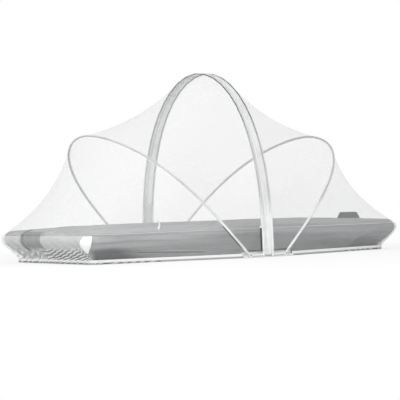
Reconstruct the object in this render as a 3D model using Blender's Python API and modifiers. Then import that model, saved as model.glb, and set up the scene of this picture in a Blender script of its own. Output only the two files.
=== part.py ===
# Pop-up mosquito net standing over a single mattress.
# Metres, +Z up. X runs along the bed, the front is -Y, and the floor is z = 0.

import math

import bmesh
import bpy
import numpy as np
from mathutils import Vector

# Clearances
gap = 0.0003                    # between neighbouring solid pieces
stitch_gap = 0.0004             # between a sewn edge and what it is sewn to
skirt_gap = 0.0007              # the same along the seam between net and skirt
flap_ease = 0.0006              # under the flap, for the cover's flat facets

# Mattress
mattress_length = 1.90
mattress_width = 0.90
mattress_corner = 0.067         # corner radius in plan at the widest line
undercut = 0.090                # how far the underside is drawn in
widest_height = 0.116
shoulder_inset = 0.050
shoulder_height = 0.160
crown_height = 0.180
least_corner = 0.020            # corner radius in plan of the innermost rings of the top
side_levels = 6                 # rings from the floor to the widest line
crown_levels = (0.25, 0.55, 0.9)        # rings of the top, from its rim to its middle
piping_height = 0.138
piping_radius = 0.0015
handle_base = 0.190
handle_top = 0.135
handle_rise = 0.036
handle_thickness = 0.012
handle_inset = 0.094            # from the right end of the mattress to the handle
handle_shift = 0.150            # off the middle, to the front
flap_width = 0.220
flap_thickness = 0.0015
flap_inset = 0.065              # how far the flap reaches in over the left end's top
flap_low = 0.060
flap_shift = 0.100              # off the middle, to the back
flap_ridge = 0.014              # half width of the ridge where it lies over the piping
flap_crest = 0.006
flap_rows = 40
profile_samples = 60
flap_columns = 3
tape_along = -0.553
tape_inset = 0.025             # from the mattress's front side
tape_rise = 0.042
tape_width = 0.014
tape_thickness = 0.0012
tape_steps = 8
tape_bow = 0.008

# Floor sheet, base rods and hem
sheet_thickness = 0.0015
base_inset = 0.065              # of the hem from the mattress's widest line, at the ends
base_corner = 0.030
base_rod_radius = 0.0025
hem_height = 0.020
hem_thickness = 0.008
hem_wall = 0.0010
hem_rounding = 0.35             # of the hem's thickness

# Hoops
rod_radius = 0.0030
sleeve_radius = 0.0055
sleeve_wall = 0.0008
side_steps = 8                  # places along each side, corner and end of a net's lower edge
corner_turns = 4
end_steps = 4
hoop_segments = 2 * (side_steps + corner_turns) + end_steps
hoop_samples = 2000
fine_side = 200                 # the same, where the skirt's pleats and patch are laid out
fine_corner = 40
fine_end = 120
centre_half_width = 0.5471
centre_height = 0.9402
centre_offset = 0.0280          # each centre hoop from the middle
centre_exponents = (1.018, 0.794)
end_height = 0.8575             # in the hoop's own plane
end_foot = 0.0952               # where the hoop's plane meets the floor
end_tilt = math.radians(43.95)  # from upright
end_exponents = (1.118, 0.599)

# Hubs
pin_height = 0.0135
pin_radius = 0.0025
pin_head_radius = 0.0042
pin_head = 0.0015
pin_crown = 0.8                 # width of a pin head's end, of the whole head's
eye_radius = 0.0080
ear_radius = 0.0090
eye_thickness = 0.0050
eye_spacing = 0.0054            # from one eye's middle to the next along the pin
ear_thickness = 0.0030
plate_thickness = 0.0030
plate_half_length = 0.1500
socket_radius = 0.0050
socket_start = 0.0100           # along the hoop from the pin
socket_length = 0.0200
rod_seat = 0.0040               # of socket floor under a rod's end
neck_width = 0.0080
toe_low = 0.0056
toe_high = 0.0340
toe_bar = 0.0100
block_length = 0.0270
block_width = 0.0110
block_height = 0.0092
rod_grip = 0.0220               # of base rod inside the hinge base
bore_reach = 0.030              # how far a cutter runs past what it cuts
guard_inset = 0.0140            # of the cloth behind each hub from the hub's middle line
guard_height = 0.0260
guard_thickness = 0.0012

# Net, skirts and seams
net_thickness = 0.0012
net_rows = 5
relax_steps = 400
settle_steps = 100
face_samples = (0.0, 0.25, 0.5, 0.75, 1.0)      # looked at across each face of the net
roof_pull_ratio = 0.8           # tension from hoop to hoop over that along them
end_pull_ratio = 0.78
seam_clearance = 0.0110         # sewn lower edge of the net off the mattress
drape_clearance = 0.0090        # net over mattress
face_clearance = 0.0070         # between the net's corners
seam_height = 0.138             # where the end skirt is sewn to the net
tail_start = 0.560              # where the skirt begins on each long side
pleat_count = 20
pleat_depth = 0.0120
pleat_lean = 1.1                # pleats that a pleat leans over from seam to hem
pleat_steps = 4
skirt_rows = 4
skirt_taper = 0.3               # how soon the pleats fade towards the skirt's tails
skirt_least = 0.0036            # height at which the skirt's tails end
patch_turn = math.radians(34)   # round the corner, from the end to the white patch's middle
patch_half_width = 0.022
patch_low = 0.054
patch_high = 0.134
patch_thickness = 0.0012
patch_lean = math.radians(18)   # how much further round its top is than its bottom
patch_foot = 0.005              # half its width at the bottom
patch_head = 0.014              # the same at the top
patch_ease = 0.0010
patch_rows = 8
patch_columns = 4
patch_margin = 0.006            # more flat skirt on each side of it
patch_ramp = 0.030              # over which the pleats come back beside the patch

# Centre band and zip
band_thickness = 0.0010
zip_place = -0.0100
chain_width = 0.0024
chain_thickness = 0.0024
chain_gap = 0.0016
slider_height = 0.087           # of the slider above the floor at rest
slider_width = 0.0095
slider_length = 0.0120
slider_plate = 0.0012
slider_channel = 0.0042
slider_post = 0.0008
post_length = 0.0030
lug_thickness = 0.0010
lug_length = 0.0040
lug_reach = 0.0026              # from the slider's face to the pull's pin
lug_pin_radius = 0.0007
lug_ease = 1.6                  # of the pin's radius, from its middle to the lug's edge
pull_width = 0.0046
pull_length = 0.0240
pull_thickness = 0.0012
pull_eye_radius = 0.0019
pull_bore_radius = 0.0011
tab_height = 0.147
tab_width = 0.0120
tab_length = 0.0100
tab_thickness = 0.0015
strap_width = 0.0090
strap_low = 0.030
strap_thickness = 0.0012
strap_rows = 8
band_start = 0.0100             # of the centre bands and zip along the hoops from the floor

# Places that follow from the sizes
half_length = mattress_length / 2
half_width = mattress_width / 2
floor_top = sheet_thickness + gap
hem_top = floor_top + hem_height
net_foot = hem_top + net_thickness / 2 + gap
base_rod_height = floor_top + hem_wall + stitch_gap + base_rod_radius
hub_width = centre_half_width - eye_spacing / 2
end_half_width = hub_width - eye_spacing / 2
pin_place = end_foot + pin_height * math.tan(end_tilt)
pin_along_hoop = pin_height / math.cos(end_tilt)
base_half_length = half_length - base_inset
base_half_width = half_width - base_inset       # the sides spread from here to the hubs
side_slope = (hub_width - base_half_width) / (base_half_length - plate_half_length)
patch_radius = mattress_corner + seam_clearance
hem_start = plate_half_length + gap + side_slope * hem_thickness / 2
slack = 0.001                   # how far a joined shape runs into its neighbour
quarter_turn = math.radians(90)
crease_angle = math.radians(50)         # sharper edges of the mattress stay crisp
round_segments = 16
eye_segments = 20
small_segments = 12
corner_segments = 6

sides = {"left": -1, "right": 1}
fronts = {"front": -1, "back": 1}

# Finishes: colour, roughness and how metallic
white_net = ((0.86, 0.87, 0.88), 0.80, 0.0)
white_cloth = ((0.80, 0.80, 0.81), 0.75, 0.0)
white_plastic = ((0.82, 0.82, 0.82), 0.45, 0.0)
grey_cloth = ((0.36, 0.36, 0.37), 0.95, 0.0)
dark_cloth = ((0.24, 0.24, 0.25), 0.90, 0.0)
steel = ((0.35, 0.35, 0.36), 0.35, 1.0)

for old in list(bpy.data.objects):
    bpy.data.objects.remove(old, do_unlink=True)

parts = bpy.data.collections.new("popup_mosquito_net")
guides = bpy.data.collections.new("cutters_and_guides")
for group in (parts, guides):
    bpy.context.scene.collection.children.link(group)


# Objects and materials

def paint(thing, finish):
    colour, roughness, metallic = finish
    coat = bpy.data.materials.new(thing.name)
    coat.use_nodes = True
    shader = coat.node_tree.nodes["Principled BSDF"]
    shader.inputs["Base Color"].default_value = (*colour, 1.0)
    shader.inputs["Roughness"].default_value = roughness
    shader.inputs["Metallic"].default_value = metallic
    thing.data.materials.clear()
    thing.data.materials.append(coat)
    return thing


def link(thing, guide=False):
    (guides if guide else parts).objects.link(thing)
    if guide:
        thing.hide_render = True
        thing.display_type = "WIRE"
    return thing


def from_bmesh(name, build, guide=False):
    data = bpy.data.meshes.new(name)
    shape = bmesh.new()
    build(shape)
    shape.to_mesh(data)
    shape.free()
    return link(bpy.data.objects.new(name, data), guide)


def box(name, low, high, guide=False):
    low, high = np.array(low, float), np.array(high, float)

    def build(shape):
        bmesh.ops.create_cube(shape, size=1.0)
        bmesh.ops.scale(shape, vec=Vector(high - low), verts=shape.verts)

    thing = from_bmesh(name, build, guide)
    thing.location = (low + high) / 2
    return thing


def cylinder(name, start, end, radius, segments=round_segments, guide=False):
    start, end = Vector(start), Vector(end)

    def build(shape):
        bmesh.ops.create_cone(shape, cap_ends=True, segments=segments, radius1=radius,
                              radius2=radius, depth=(end - start).length)

    thing = from_bmesh(name, build, guide)
    thing.rotation_mode = "QUATERNION"
    thing.rotation_quaternion = (end - start).to_track_quat("Z", "Y")
    thing.location = (start + end) / 2
    for face in thing.data.polygons:
        face.use_smooth = len(face.vertices) == 4
    return thing


def combine(thing, others, operation):
    for other in others:
        step = thing.modifiers.new(operation.lower(), "BOOLEAN")
        step.operation = operation
        step.solver = "EXACT"
        step.object = other
    return thing


# A shape turned about Y: pairs of place along the axis and radius, down from the front.
def turned(name, profile, centre, segments=round_segments):
    data = bpy.data.meshes.new(name)
    verts = [(radius, 0.0, along) for along, radius in profile]
    edges = [(i, i + 1) for i in range(len(verts) - 1)]
    data.from_pydata(verts, edges, [])
    thing = link(bpy.data.objects.new(name, data))
    thing.location = centre
    thing.rotation_euler = (quarter_turn, 0.0, 0.0)
    screw = thing.modifiers.new("turn", "SCREW")
    screw.steps = segments
    screw.render_steps = segments
    screw.use_merge_vertices = True
    screw.merge_threshold = 0.00001
    screw.use_smooth_shade = True
    return thing


# An open or closed run of straight pieces through the points.
def wire(name, points, closed=False, guide=False):
    data = bpy.data.curves.new(name, "CURVE")
    data.dimensions = "3D"
    data.twist_mode = "Z_UP"
    line = data.splines.new("POLY")
    line.points.add(len(points) - 1)
    for spot, place in zip(line.points, points):
        spot.co = (*place, 1.0)
    line.use_cyclic_u = closed
    line.use_smooth = True
    return link(bpy.data.objects.new(name, data), guide)


def rod(name, points, radius, closed=False, round_sides=6):
    thing = wire(name, points, closed)
    thing.data.bevel_depth = radius
    thing.data.bevel_resolution = (round_sides - 4) // 2
    thing.data.use_fill_caps = not closed
    return thing


# A thin wall inwards from an open tube leaves both ends open.
def hollow(thing, wall):
    thing.data.use_fill_caps = False
    shell = thing.modifiers.new("wall", "SOLIDIFY")
    shell.thickness = wall
    shell.offset = -1.0
    return thing


# A flat outline with a thickness, lying about z = 0.
def plate(name, outline, thickness):
    thing = wire(name, [(x, y, 0.0) for x, y in outline], True)
    thing.data.dimensions = "2D"
    thing.data.fill_mode = "BOTH"
    thing.data.extrude = thickness / 2
    return thing


# A strip that stands across a hoop lying in a plane of constant x.
def strip(name, hoop, low, high, thickness):
    thing = wire(name, [(point[1], point[2], 0.0) for point in hoop])
    thing.data.dimensions = "2D"
    thing.data.fill_mode = "NONE"
    thing.data.extrude = (high - low) / 2
    thing.location.x = (low + high) / 2
    thing.rotation_euler = (quarter_turn, 0.0, quarter_turn)
    shell = thing.modifiers.new("cloth", "SOLIDIFY")
    shell.thickness = thickness
    shell.offset = 0.0
    return thing


# A cloth through a grid of points, rows by columns.
def cloth(name, grid, thickness):
    rows, columns = grid.shape[:2]
    data = bpy.data.meshes.new(name)
    faces = [(r * columns + c, r * columns + c + 1, (r + 1) * columns + c + 1,
              (r + 1) * columns + c)
             for r in range(rows - 1) for c in range(columns - 1)]
    data.from_pydata([tuple(point) for point in grid.reshape(-1, 3)], [], faces)
    data.polygons.foreach_set("use_smooth", [True] * len(faces))
    thing = link(bpy.data.objects.new(name, data))
    shell = thing.modifiers.new("cloth", "SOLIDIFY")
    shell.thickness = thickness
    shell.offset = 0.0
    shell.use_even_offset = False
    return thing


# Hoops

def hoop_curve(half, height, roundness):
    turn = np.linspace(0.0, math.pi, hoop_samples)
    across = -np.sign(np.cos(turn)) * np.abs(np.cos(turn)) ** roundness[0] * half
    along = np.abs(np.sin(turn)) ** roundness[1] * height
    return np.stack([across, along], axis=1)


def even_points(curve, start, segments):
    steps = np.linalg.norm(np.diff(curve, axis=0), axis=1)
    length = np.concatenate([[0.0], np.cumsum(steps)])
    wanted = np.linspace(start, length[-1] - start, segments + 1)
    return np.stack([np.interp(wanted, length, curve[:, k]) for k in range(2)], axis=1)


def centre_hoop(side, start, segments):
    flat = even_points(hoop_curve(centre_half_width, centre_height, centre_exponents),
                       start, segments)
    return np.stack([np.full(len(flat), side * centre_offset), flat[:, 0], flat[:, 1]], axis=1)


def end_hoop(side, start, segments):
    flat = even_points(hoop_curve(end_half_width, end_height, end_exponents),
                       start, segments)
    return np.stack([side * (end_foot + flat[:, 1] * math.sin(end_tilt)), flat[:, 0],
                     flat[:, 1] * math.cos(end_tilt)], axis=1)


centre_sleeve_start = toe_high + gap
end_sleeve_start = pin_along_hoop + socket_start + socket_length + gap
centre_rod_start = toe_low + rod_seat + gap
end_rod_start = pin_along_hoop + socket_start + rod_seat + gap


# The rod is the sleeve's own line with one more point at each end.
def with_ends(middle, whole):
    return np.concatenate([whole[:1], middle, whole[-1:]])


def hoop_lines(make, side, rod_start, sleeve_start):
    middle = make(side, sleeve_start, hoop_segments)
    return middle, with_ends(middle, make(side, rod_start, 1))


# Mattress shape

def inset_below(height):
    return undercut * (1.0 - (height / widest_height) ** 2) ** 2


def inset_above(height):
    rise = (height - widest_height) / (shoulder_height - widest_height)
    return shoulder_inset * (1.0 - np.sqrt(1.0 - np.clip(rise, 0.0, 1.0) ** 2))


def inset_at(height):
    return np.where(height < widest_height, inset_below(height), inset_above(height))


def crown_at(inset):
    inwards = np.clip((inset - shoulder_inset) / (half_width - shoulder_inset), 0.0, 1.0)
    crown = shoulder_height + (crown_height - shoulder_height) * np.sin(inwards * math.pi / 2)
    edge = np.clip(inset / shoulder_inset, 0.0, 1.0)
    rim = widest_height + (shoulder_height - widest_height) * np.sqrt(1 - (1 - edge) ** 2)
    return np.where(inset < shoulder_inset, rim, crown)


def rounded_ring(inset, height, corner_steps=corner_segments, least=least_corner):
    corner = max(mattress_corner - inset, least)
    points = []
    for quarter, (x_sign, y_sign) in enumerate([(1, 1), (-1, 1), (-1, -1), (1, -1)]):
        for step in range(corner_steps + 1):
            angle = quarter_turn * (quarter + step / corner_steps)
            points.append((x_sign * (half_length - inset - corner) + corner * math.cos(angle),
                           y_sign * (half_width - inset - corner) + corner * math.sin(angle),
                           height))
    return points


# How far outside the widest line each point of the plan is, and the way out.
def plan_distance(points):
    core = np.array([half_length, half_width]) - mattress_corner
    from_core = np.abs(points[..., :2]) - core
    outside = np.maximum(from_core, 0.0)
    length = np.linalg.norm(outside, axis=-1, keepdims=True)
    nearest = from_core == from_core.max(axis=-1, keepdims=True)
    way = np.where(length > 0.0, outside / np.maximum(length, gap), nearest)
    distance = length[..., 0] + np.minimum(from_core.max(axis=-1), 0.0) - mattress_corner
    return distance, way * np.sign(points[..., :2])


# The move that brings each point out of the mattress and the clearance round it.
def push_out(points, clearance):
    distance, way = plan_distance(points)
    height = points[..., 2]
    inset = np.maximum(-distance, 0.0)
    outwards = -distance - inset_at(np.clip(height, 0.0, shoulder_height)) + clearance
    upwards = crown_at(inset) - height + clearance
    inside = (outwards > 0.0) & (upwards > 0.0)
    lift = inside & (upwards <= outwards)
    shove = inside & (upwards > outwards)
    move = np.zeros_like(points)
    move[..., :2] = way * np.where(shove, outwards, 0.0)[..., None]
    move[..., 2] = np.where(lift, upwards, 0.0)
    return move


# Base outline: places along one half's base, each with its way out in plan.


def base_corner_centre():
    return np.array([base_half_length - base_corner, base_half_width - base_corner])


# Front side, front corner, end, back corner and back side of the right half.
def base_columns(side_at, corner_at, end_at):
    centre = base_corner_centre()
    start = np.array([hem_start, hub_width])
    tangent = centre + np.array([0.0, base_corner])
    front = []
    for along in side_at:
        spot = start + (tangent - start) * along
        front.append((spot[0], spot[1], 0.0, 1.0, along))
    for turn in corner_at:
        angle = quarter_turn * (1.0 - turn)
        way = np.array([math.cos(angle), math.sin(angle)])
        spot = centre + way * base_corner
        front.append((spot[0], spot[1], way[0], way[1], 1.0))
    front = np.array(front)
    front[:, 1] *= -1
    front[:, 3] *= -1
    middle = np.array([(base_half_length, (2 * across - 1) * centre[1], 1.0, 0.0, 1.0)
                       for across in end_at])
    back = front[::-1] * np.array([1, -1, 1, -1, 1])
    return np.concatenate([front, middle, back])


def even_base_columns():
    crowded = np.sin(np.arange(side_steps) / side_steps * math.pi / 2)
    return base_columns(crowded,
                        np.arange(corner_turns + 1) / corner_turns,
                        np.arange(1, end_steps) / end_steps)


# The cloth's skin over a base column at a height: the hem's line or the mattress,
# whichever is further out.
def skin(column, height, clearance):
    spot, way = column[:2], column[2:4]
    inset = float(inset_at(height))
    corner = mattress_corner
    core = np.array([half_length - corner, half_width - corner])
    sign = np.where(spot < 0, -1.0, 1.0)
    is_corner = abs(way[0]) > 0 and abs(way[1]) > 0
    if is_corner:
        reach = (core * sign + way * (corner - inset + clearance) - spot) @ way
    else:
        reach = (np.array([half_length, half_width]) - inset + clearance) @ np.abs(way)
        reach -= spot @ way
    return np.array([*(spot + way * max(0.0, reach)), height])


# How high the seam between net and skirt runs over a base column.
def seam_rise(column):
    along = abs(column[0])
    tangent = base_half_length - base_corner
    share = np.clip((along - tail_start) / (tangent - tail_start), 0.0, 1.0)
    ease = share * share * (3.0 - 2.0 * share)
    return net_foot + (seam_height - net_foot) * ease


def mirrored(grid, side):
    return grid * np.array([side, 1.0, 1.0])


# Nets

def sewn_edge(hoop, towards, reach):
    tangent = np.gradient(hoop, axis=0)
    tangent /= np.linalg.norm(tangent, axis=1, keepdims=True)
    way = towards - hoop
    way -= tangent * (way * tangent).sum(axis=1, keepdims=True)
    way /= np.linalg.norm(way, axis=1, keepdims=True)
    return hoop + way * reach


# A stretched film: each point settles between its neighbours, and no face of the net
# cuts into the mattress.
def stretched(top, bottom, pull):
    share = np.linspace(0.0, 1.0, net_rows + 1)[:, None, None]
    grid = top[None] + (bottom - top)[None] * share
    for _ in range(relax_steps):
        across = grid[:-2, 1:-1] + grid[2:, 1:-1]
        along = grid[1:-1, :-2] + grid[1:-1, 2:]
        grid[1:-1, 1:-1] = (pull * across + along) / (2.0 * (pull + 1.0))
        grid[1:-1, 1:-1] += push_out(grid[1:-1, 1:-1], drape_clearance)
    for _ in range(settle_steps):
        move = np.zeros_like(grid)
        for down in face_samples:
            for over in face_samples:
                point = ((1 - down) * (1 - over) * grid[:-1, :-1] + down * over * grid[1:, 1:]
                         + (1 - down) * over * grid[:-1, 1:] + down * (1 - over) * grid[1:, :-1])
                push = push_out(point, face_clearance)
                corners = ((move[:-1, :-1], (1 - down) * (1 - over)),
                           (move[:-1, 1:], (1 - down) * over),
                           (move[1:, :-1], down * (1 - over)), (move[1:, 1:], down * over))
                for corner, weight in corners:
                    share_of_push = push * weight
                    larger = np.abs(share_of_push) > np.abs(corner)
                    corner[:] = np.where(larger, share_of_push, corner)
        grid[1:-1, 1:-1] += move[1:-1, 1:-1]
    return grid


def net_roof(name, side):
    upper = centre_hoop(side, centre_sleeve_start, hoop_segments)
    lower = end_hoop(side, end_sleeve_start, hoop_segments)
    reach = sleeve_radius + stitch_gap
    grid = stretched(sewn_edge(upper, lower, reach), sewn_edge(lower, upper, reach),
                     roof_pull_ratio)
    return paint(cloth(name, grid, net_thickness), white_net)


def net_end(name, side):
    upper = end_hoop(1, end_sleeve_start, hoop_segments)
    lower = np.array([skin(column, seam_rise(column), seam_clearance)
                      for column in even_base_columns()])
    grid = stretched(sewn_edge(upper, lower, sleeve_radius + stitch_gap), lower, end_pull_ratio)
    return paint(cloth(name, mirrored(grid, side), net_thickness), white_net)


# Skirts

def fine_base_columns():
    return base_columns(np.linspace(0.0, 1.0, fine_side, endpoint=False),
                        np.linspace(0.0, 1.0, fine_corner),
                        np.linspace(0.0, 1.0, fine_end)[1:-1])


# Columns close enough together to draw each pleat, from tail to tail of the right half.
def skirt_columns():
    count = pleat_count * pleat_steps
    fine = fine_base_columns()
    fine = fine[fine[:, 0] >= tail_start]
    skins = np.array([skin(column, widest_height, 0.0) for column in fine])
    steps = np.linalg.norm(np.diff(skins[:, :2], axis=0), axis=1)
    length = np.concatenate([[0.0], np.cumsum(steps)])
    wanted = np.linspace(0.0, length[-1], count + 1)
    return [fine[int(np.abs(length - at).argmin())] for at in wanted]


def pleat_wave(place, fall):
    phase = 2.0 * math.pi * (place * pleat_count + pleat_lean * fall)
    return -pleat_depth / 2 * fall * math.cos(phase)


# The patch holds the pleats flat behind it: none there, all of them a little way off.
def pleat_share(column, side):
    if side == sides["right"] or column[1] > 0.0:
        return 1.0
    turn = math.atan2(-column[3], column[2])
    away = abs(turn - patch_turn) * patch_radius - patch_half_width - patch_margin
    if turn == 0.0:
        away += max(0.0, half_width - mattress_corner - abs(column[1]))
    return min(1.0, max(0.0, away / patch_ramp))


def skirt(name, side):
    columns = skirt_columns()
    drop = net_thickness / 2 + skirt_gap
    grid = np.zeros((skirt_rows + 1, len(columns), 3))
    for c, column in enumerate(columns):
        place = c / (len(columns) - 1)
        top = seam_rise(column) - drop
        fade = math.sin(math.pi * place) ** skirt_taper if 0.0 < place < 1.0 else 0.0
        for r in range(skirt_rows + 1):
            fall = r / skirt_rows
            height = max(top + (net_foot - top) * fall, net_foot)
            wave = pleat_wave(place, fall) * fade
            grid[r, c] = skin(column, height, seam_clearance)
            grid[r, c, :2] += column[2:4] * wave * pleat_share(column, side)
    low = grid[-1, 0, 2]
    keep = [c for c in range(len(columns)) if grid[0, c, 2] - low > skirt_least]
    grid = grid[:, keep[0]:keep[-1] + 1]
    return paint(cloth(name, mirrored(grid, side), net_thickness), white_net)


# A lens-shaped patch over the skirt, round the front corner of the left end.
def corner_patch(name):
    outwards = (net_thickness + patch_thickness) / 2 + stitch_gap + patch_ease
    middle = base_corner_centre() * np.array([1.0, -1.0])
    grid = np.zeros((patch_rows + 1, patch_columns + 1, 3))
    for r in range(patch_rows + 1):
        share = r / patch_rows
        height = patch_low + (patch_high - patch_low) * share
        tip = patch_foot + (patch_head - patch_foot) * share
        half = tip + (patch_half_width - tip) * math.sin(math.pi * share)
        for c in range(patch_columns + 1):
            turn = patch_turn + patch_lean * (share - 0.5)
            turn += half * (2.0 * c / patch_columns - 1.0) / patch_radius
            way = np.array([math.cos(turn), -math.sin(turn)])
            column = np.concatenate([middle + way * base_corner, way])
            grid[r, c] = skin(column, height, seam_clearance + outwards)
    return paint(cloth(name, mirrored(grid, sides["left"]), patch_thickness), white_cloth)


# Mattress and what is sewn to it

# Inset and height of each ring, from the floor over the rim to the middle.
def mattress_levels():
    levels = [(float(inset_below(height)), max(height, floor_top))
              for height in np.linspace(0.0, widest_height, side_levels)]
    seam_turn = math.asin((piping_height - widest_height) / (shoulder_height - widest_height))
    quarter = math.pi / 2
    for turn in (seam_turn / 2, seam_turn, (seam_turn + quarter) / 2, quarter):
        levels.append((shoulder_inset * (1.0 - math.cos(turn)),
                       widest_height + (shoulder_height - widest_height) * math.sin(turn)))
    for share in crown_levels:
        inset = shoulder_inset + (half_width - shoulder_inset) * share
        levels.append((inset, float(crown_at(inset))))
    return levels


def top_at(inset):
    top = [level for level in mattress_levels() if level[1] >= widest_height]
    return float(np.interp(inset, *zip(*top)))


def mattress(name):
    rings = [rounded_ring(inset, height) for inset, height in mattress_levels()]
    count = len(rings[0])
    data = bpy.data.meshes.new(name)
    faces = [(r * count + c, r * count + (c + 1) % count, (r + 1) * count + (c + 1) % count,
              (r + 1) * count + c) for r in range(len(rings) - 1) for c in range(count)]
    faces.append(tuple(reversed(range(count))))
    faces.append(tuple(range((len(rings) - 1) * count, len(rings) * count)))
    data.from_pydata([point for ring in rings for point in ring], [], faces)
    thing = link(bpy.data.objects.new(name, data))
    data.shade_smooth()
    data.set_sharp_from_angle(angle=crease_angle)
    return paint(thing, grey_cloth)


def piping(name):
    inset = float(inset_above(piping_height))
    rise = (piping_height - widest_height) / (shoulder_height - widest_height)
    slope = np.array([math.sqrt(1.0 - rise ** 2) / shoulder_inset,
                      rise / (shoulder_height - widest_height)])
    outwards = slope / np.linalg.norm(slope) * (piping_radius + gap)
    ring = rounded_ring(inset - outwards[0], piping_height + outwards[1],
                        least=mattress_corner - inset)
    return paint(rod(name, ring, piping_radius, closed=True), white_cloth)


# A padded grab handle standing on the top near the right end.
def standing_handle(name):
    foot = float(crown_at(handle_inset + handle_thickness)) + gap
    half_base, half_top = handle_base / 2, handle_top / 2
    outline = [(-half_base, 0.0), (half_base, 0.0), (half_top, handle_rise),
               (-half_top, handle_rise)]
    thing = plate(name, outline, handle_thickness)
    thing.location = (half_length - handle_inset - handle_thickness / 2, -handle_shift, foot)
    thing.rotation_euler = (quarter_turn, 0.0, quarter_turn)
    return paint(thing, dark_cloth)


# Inset and height down the mattress's end, from a place on the top to a height below.
def end_profile(inset, low, rows):
    curve = [(at, float(crown_at(at)))
             for at in np.linspace(inset, shoulder_inset, profile_samples)]
    curve += [(float(inset_above(high)), high)
              for high in np.linspace(shoulder_height, widest_height, profile_samples)[1:]]
    curve += [(float(inset_below(high)), high)
              for high in np.linspace(widest_height, low, profile_samples)[1:]]
    return even_points(np.array(curve), 0.0, rows)


# A thin flap of the same cloth lies over the left end's top edge and down its side.
def hanging_flap(name):
    profile = end_profile(flap_inset, flap_low, flap_rows)
    tangent = np.gradient(profile, axis=0)
    tangent /= np.linalg.norm(tangent, axis=1, keepdims=True)
    row_length = np.linalg.norm(profile[1] - profile[0])
    from_piping = np.abs(np.arange(flap_rows + 1) - np.abs(profile[:, 1] - piping_height).argmin())
    raised = np.clip((flap_ridge - from_piping * row_length) / (flap_ridge - flap_crest), 0, 1)
    off = flap_ease + flap_thickness / 2 + (2 * piping_radius + gap) * raised
    grid = np.zeros((flap_rows + 1, flap_columns + 1, 3))
    for c in range(flap_columns + 1):
        grid[:, c, 0] = -half_length + profile[:, 0] + tangent[:, 1] * off
        grid[:, c, 1] = flap_shift + flap_width * (c / flap_columns - 0.5)
        grid[:, c, 2] = profile[:, 1] - tangent[:, 0] * off
    return paint(cloth(name, grid, flap_thickness), dark_cloth)


# A sewn tape standing in a slight bow on the mattress's rim, which bulges under its middle.
def tie_tape(name):
    edges = (-tape_width / 2, tape_width / 2)
    rim = [top_at(tape_inset + across) for across in edges]
    middle = top_at(tape_inset)
    lift = max(0.0, middle - sum(rim) / 2) + gap + tape_thickness / 2
    grid = np.zeros((2, tape_steps + 1, 3))
    for step in range(tape_steps + 1):
        share = step / tape_steps
        bow = tape_bow * math.sin(math.pi * share)
        for edge, across in enumerate(edges):
            foot = rim[edge] + lift
            grid[edge, step] = (tape_along + bow, tape_inset - half_width + across,
                                foot + (middle + tape_rise - foot) * share)
    return paint(cloth(name, grid, tape_thickness), white_cloth)


# Floor sheet, base rods and hems

def floor_sheet(name):
    half = []
    for x, y, way_x, way_y, _ in even_base_columns():
        half.append((x + way_x * hem_thickness / 2, y + way_y * hem_thickness / 2))
    thing = plate(name, half + [(-x, -y) for x, y in half], sheet_thickness)
    thing.location.z = sheet_thickness / 2
    return paint(thing, white_cloth)


def base_line(side, height):
    columns = even_base_columns()
    corners = [c for c in columns if c[4] == 1.0]
    ends = [columns[0], columns[-1]]
    plan = [ends[0]] + corners + [ends[1]]
    return [(side * c[0], c[1], height) for c in plan]


def base_rod(name, side):
    line = base_line(side, base_rod_height)
    first, last = line[0], line[-1]
    inner = side * (plate_half_length - rod_grip)
    line = [(inner, first[1], first[2])] + line + [(inner, last[1], last[2])]
    return paint(rod(name, line, base_rod_radius), steel)


def hem(name, side):
    half_thick, half_high = hem_thickness / 2, hem_height / 2
    corner = hem_thickness * hem_rounding
    outline = [(half_thick - corner, -half_high), (-half_thick + corner, -half_high),
               (-half_thick, -half_high + corner), (-half_thick, half_high - corner),
               (-half_thick + corner, half_high), (half_thick - corner, half_high),
               (half_thick, half_high - corner), (half_thick, -half_high + corner)]
    profile = wire(name + "_profile", [(x, y, 0.0) for x, y in outline], True, guide=True)
    profile.data.dimensions = "2D"
    thing = wire(name, base_line(side, floor_top + half_high))
    thing.data.bevel_mode = "OBJECT"
    thing.data.bevel_object = profile
    return paint(hollow(thing, hem_wall), white_cloth)


# Hinge bases, pins, sockets and toes

# A strip of cloth standing on the floor sheet behind each hub, where there is no hem.
def hub_guard(name, front):
    middle = front * (hub_width - guard_inset)
    thing = box(name, (-plate_half_length, middle - guard_thickness / 2, floor_top),
                (plate_half_length, middle + guard_thickness / 2, floor_top + guard_height))
    return paint(thing, white_cloth)


def hinge_base(name, front):
    middle = front * hub_width
    ear_reach = eye_spacing / 2 + eye_thickness / 2 + stitch_gap
    low = floor_top
    plate = box(name, (-plate_half_length, middle - ear_reach - ear_thickness, low),
                (plate_half_length, middle + ear_reach + ear_thickness, low + plate_thickness))
    joined, cut = [], []
    for end in (-1, 1):
        pin = end * pin_place
        for face in (-1, 1):
            inner = middle + face * ear_reach
            outer = middle + face * (ear_reach + ear_thickness)
            near, far = min(inner, outer), max(inner, outer)
            joined.append(box(f"{name}_ear_foot", (pin - ear_radius, near, low + slack),
                              (pin + ear_radius, far, pin_height), True))
            joined.append(cylinder(f"{name}_ear", (pin, near, pin_height),
                                   (pin, far, pin_height), ear_radius, eye_segments, True))
        outside = end * plate_half_length
        inside = end * (plate_half_length - block_length)
        joined.append(box(f"{name}_block",
                          (min(inside, outside), middle - block_width / 2, low + slack),
                          (max(inside, outside), middle + block_width / 2,
                           low + block_height), True))
        cut.append(cylinder(f"{name}_pin_bore", (pin, middle - bore_reach, pin_height),
                            (pin, middle + bore_reach, pin_height), pin_radius + gap, guide=True))
        cut.append(cylinder(f"{name}_rod_bore",
                            (end * (plate_half_length - rod_grip - gap), middle, base_rod_height),
                            (end * (plate_half_length + bore_reach), middle, base_rod_height),
                            base_rod_radius + gap, guide=True))
    combine(plate, joined, "UNION")
    combine(plate, cut, "DIFFERENCE")
    return paint(plate, white_plastic)


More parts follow.
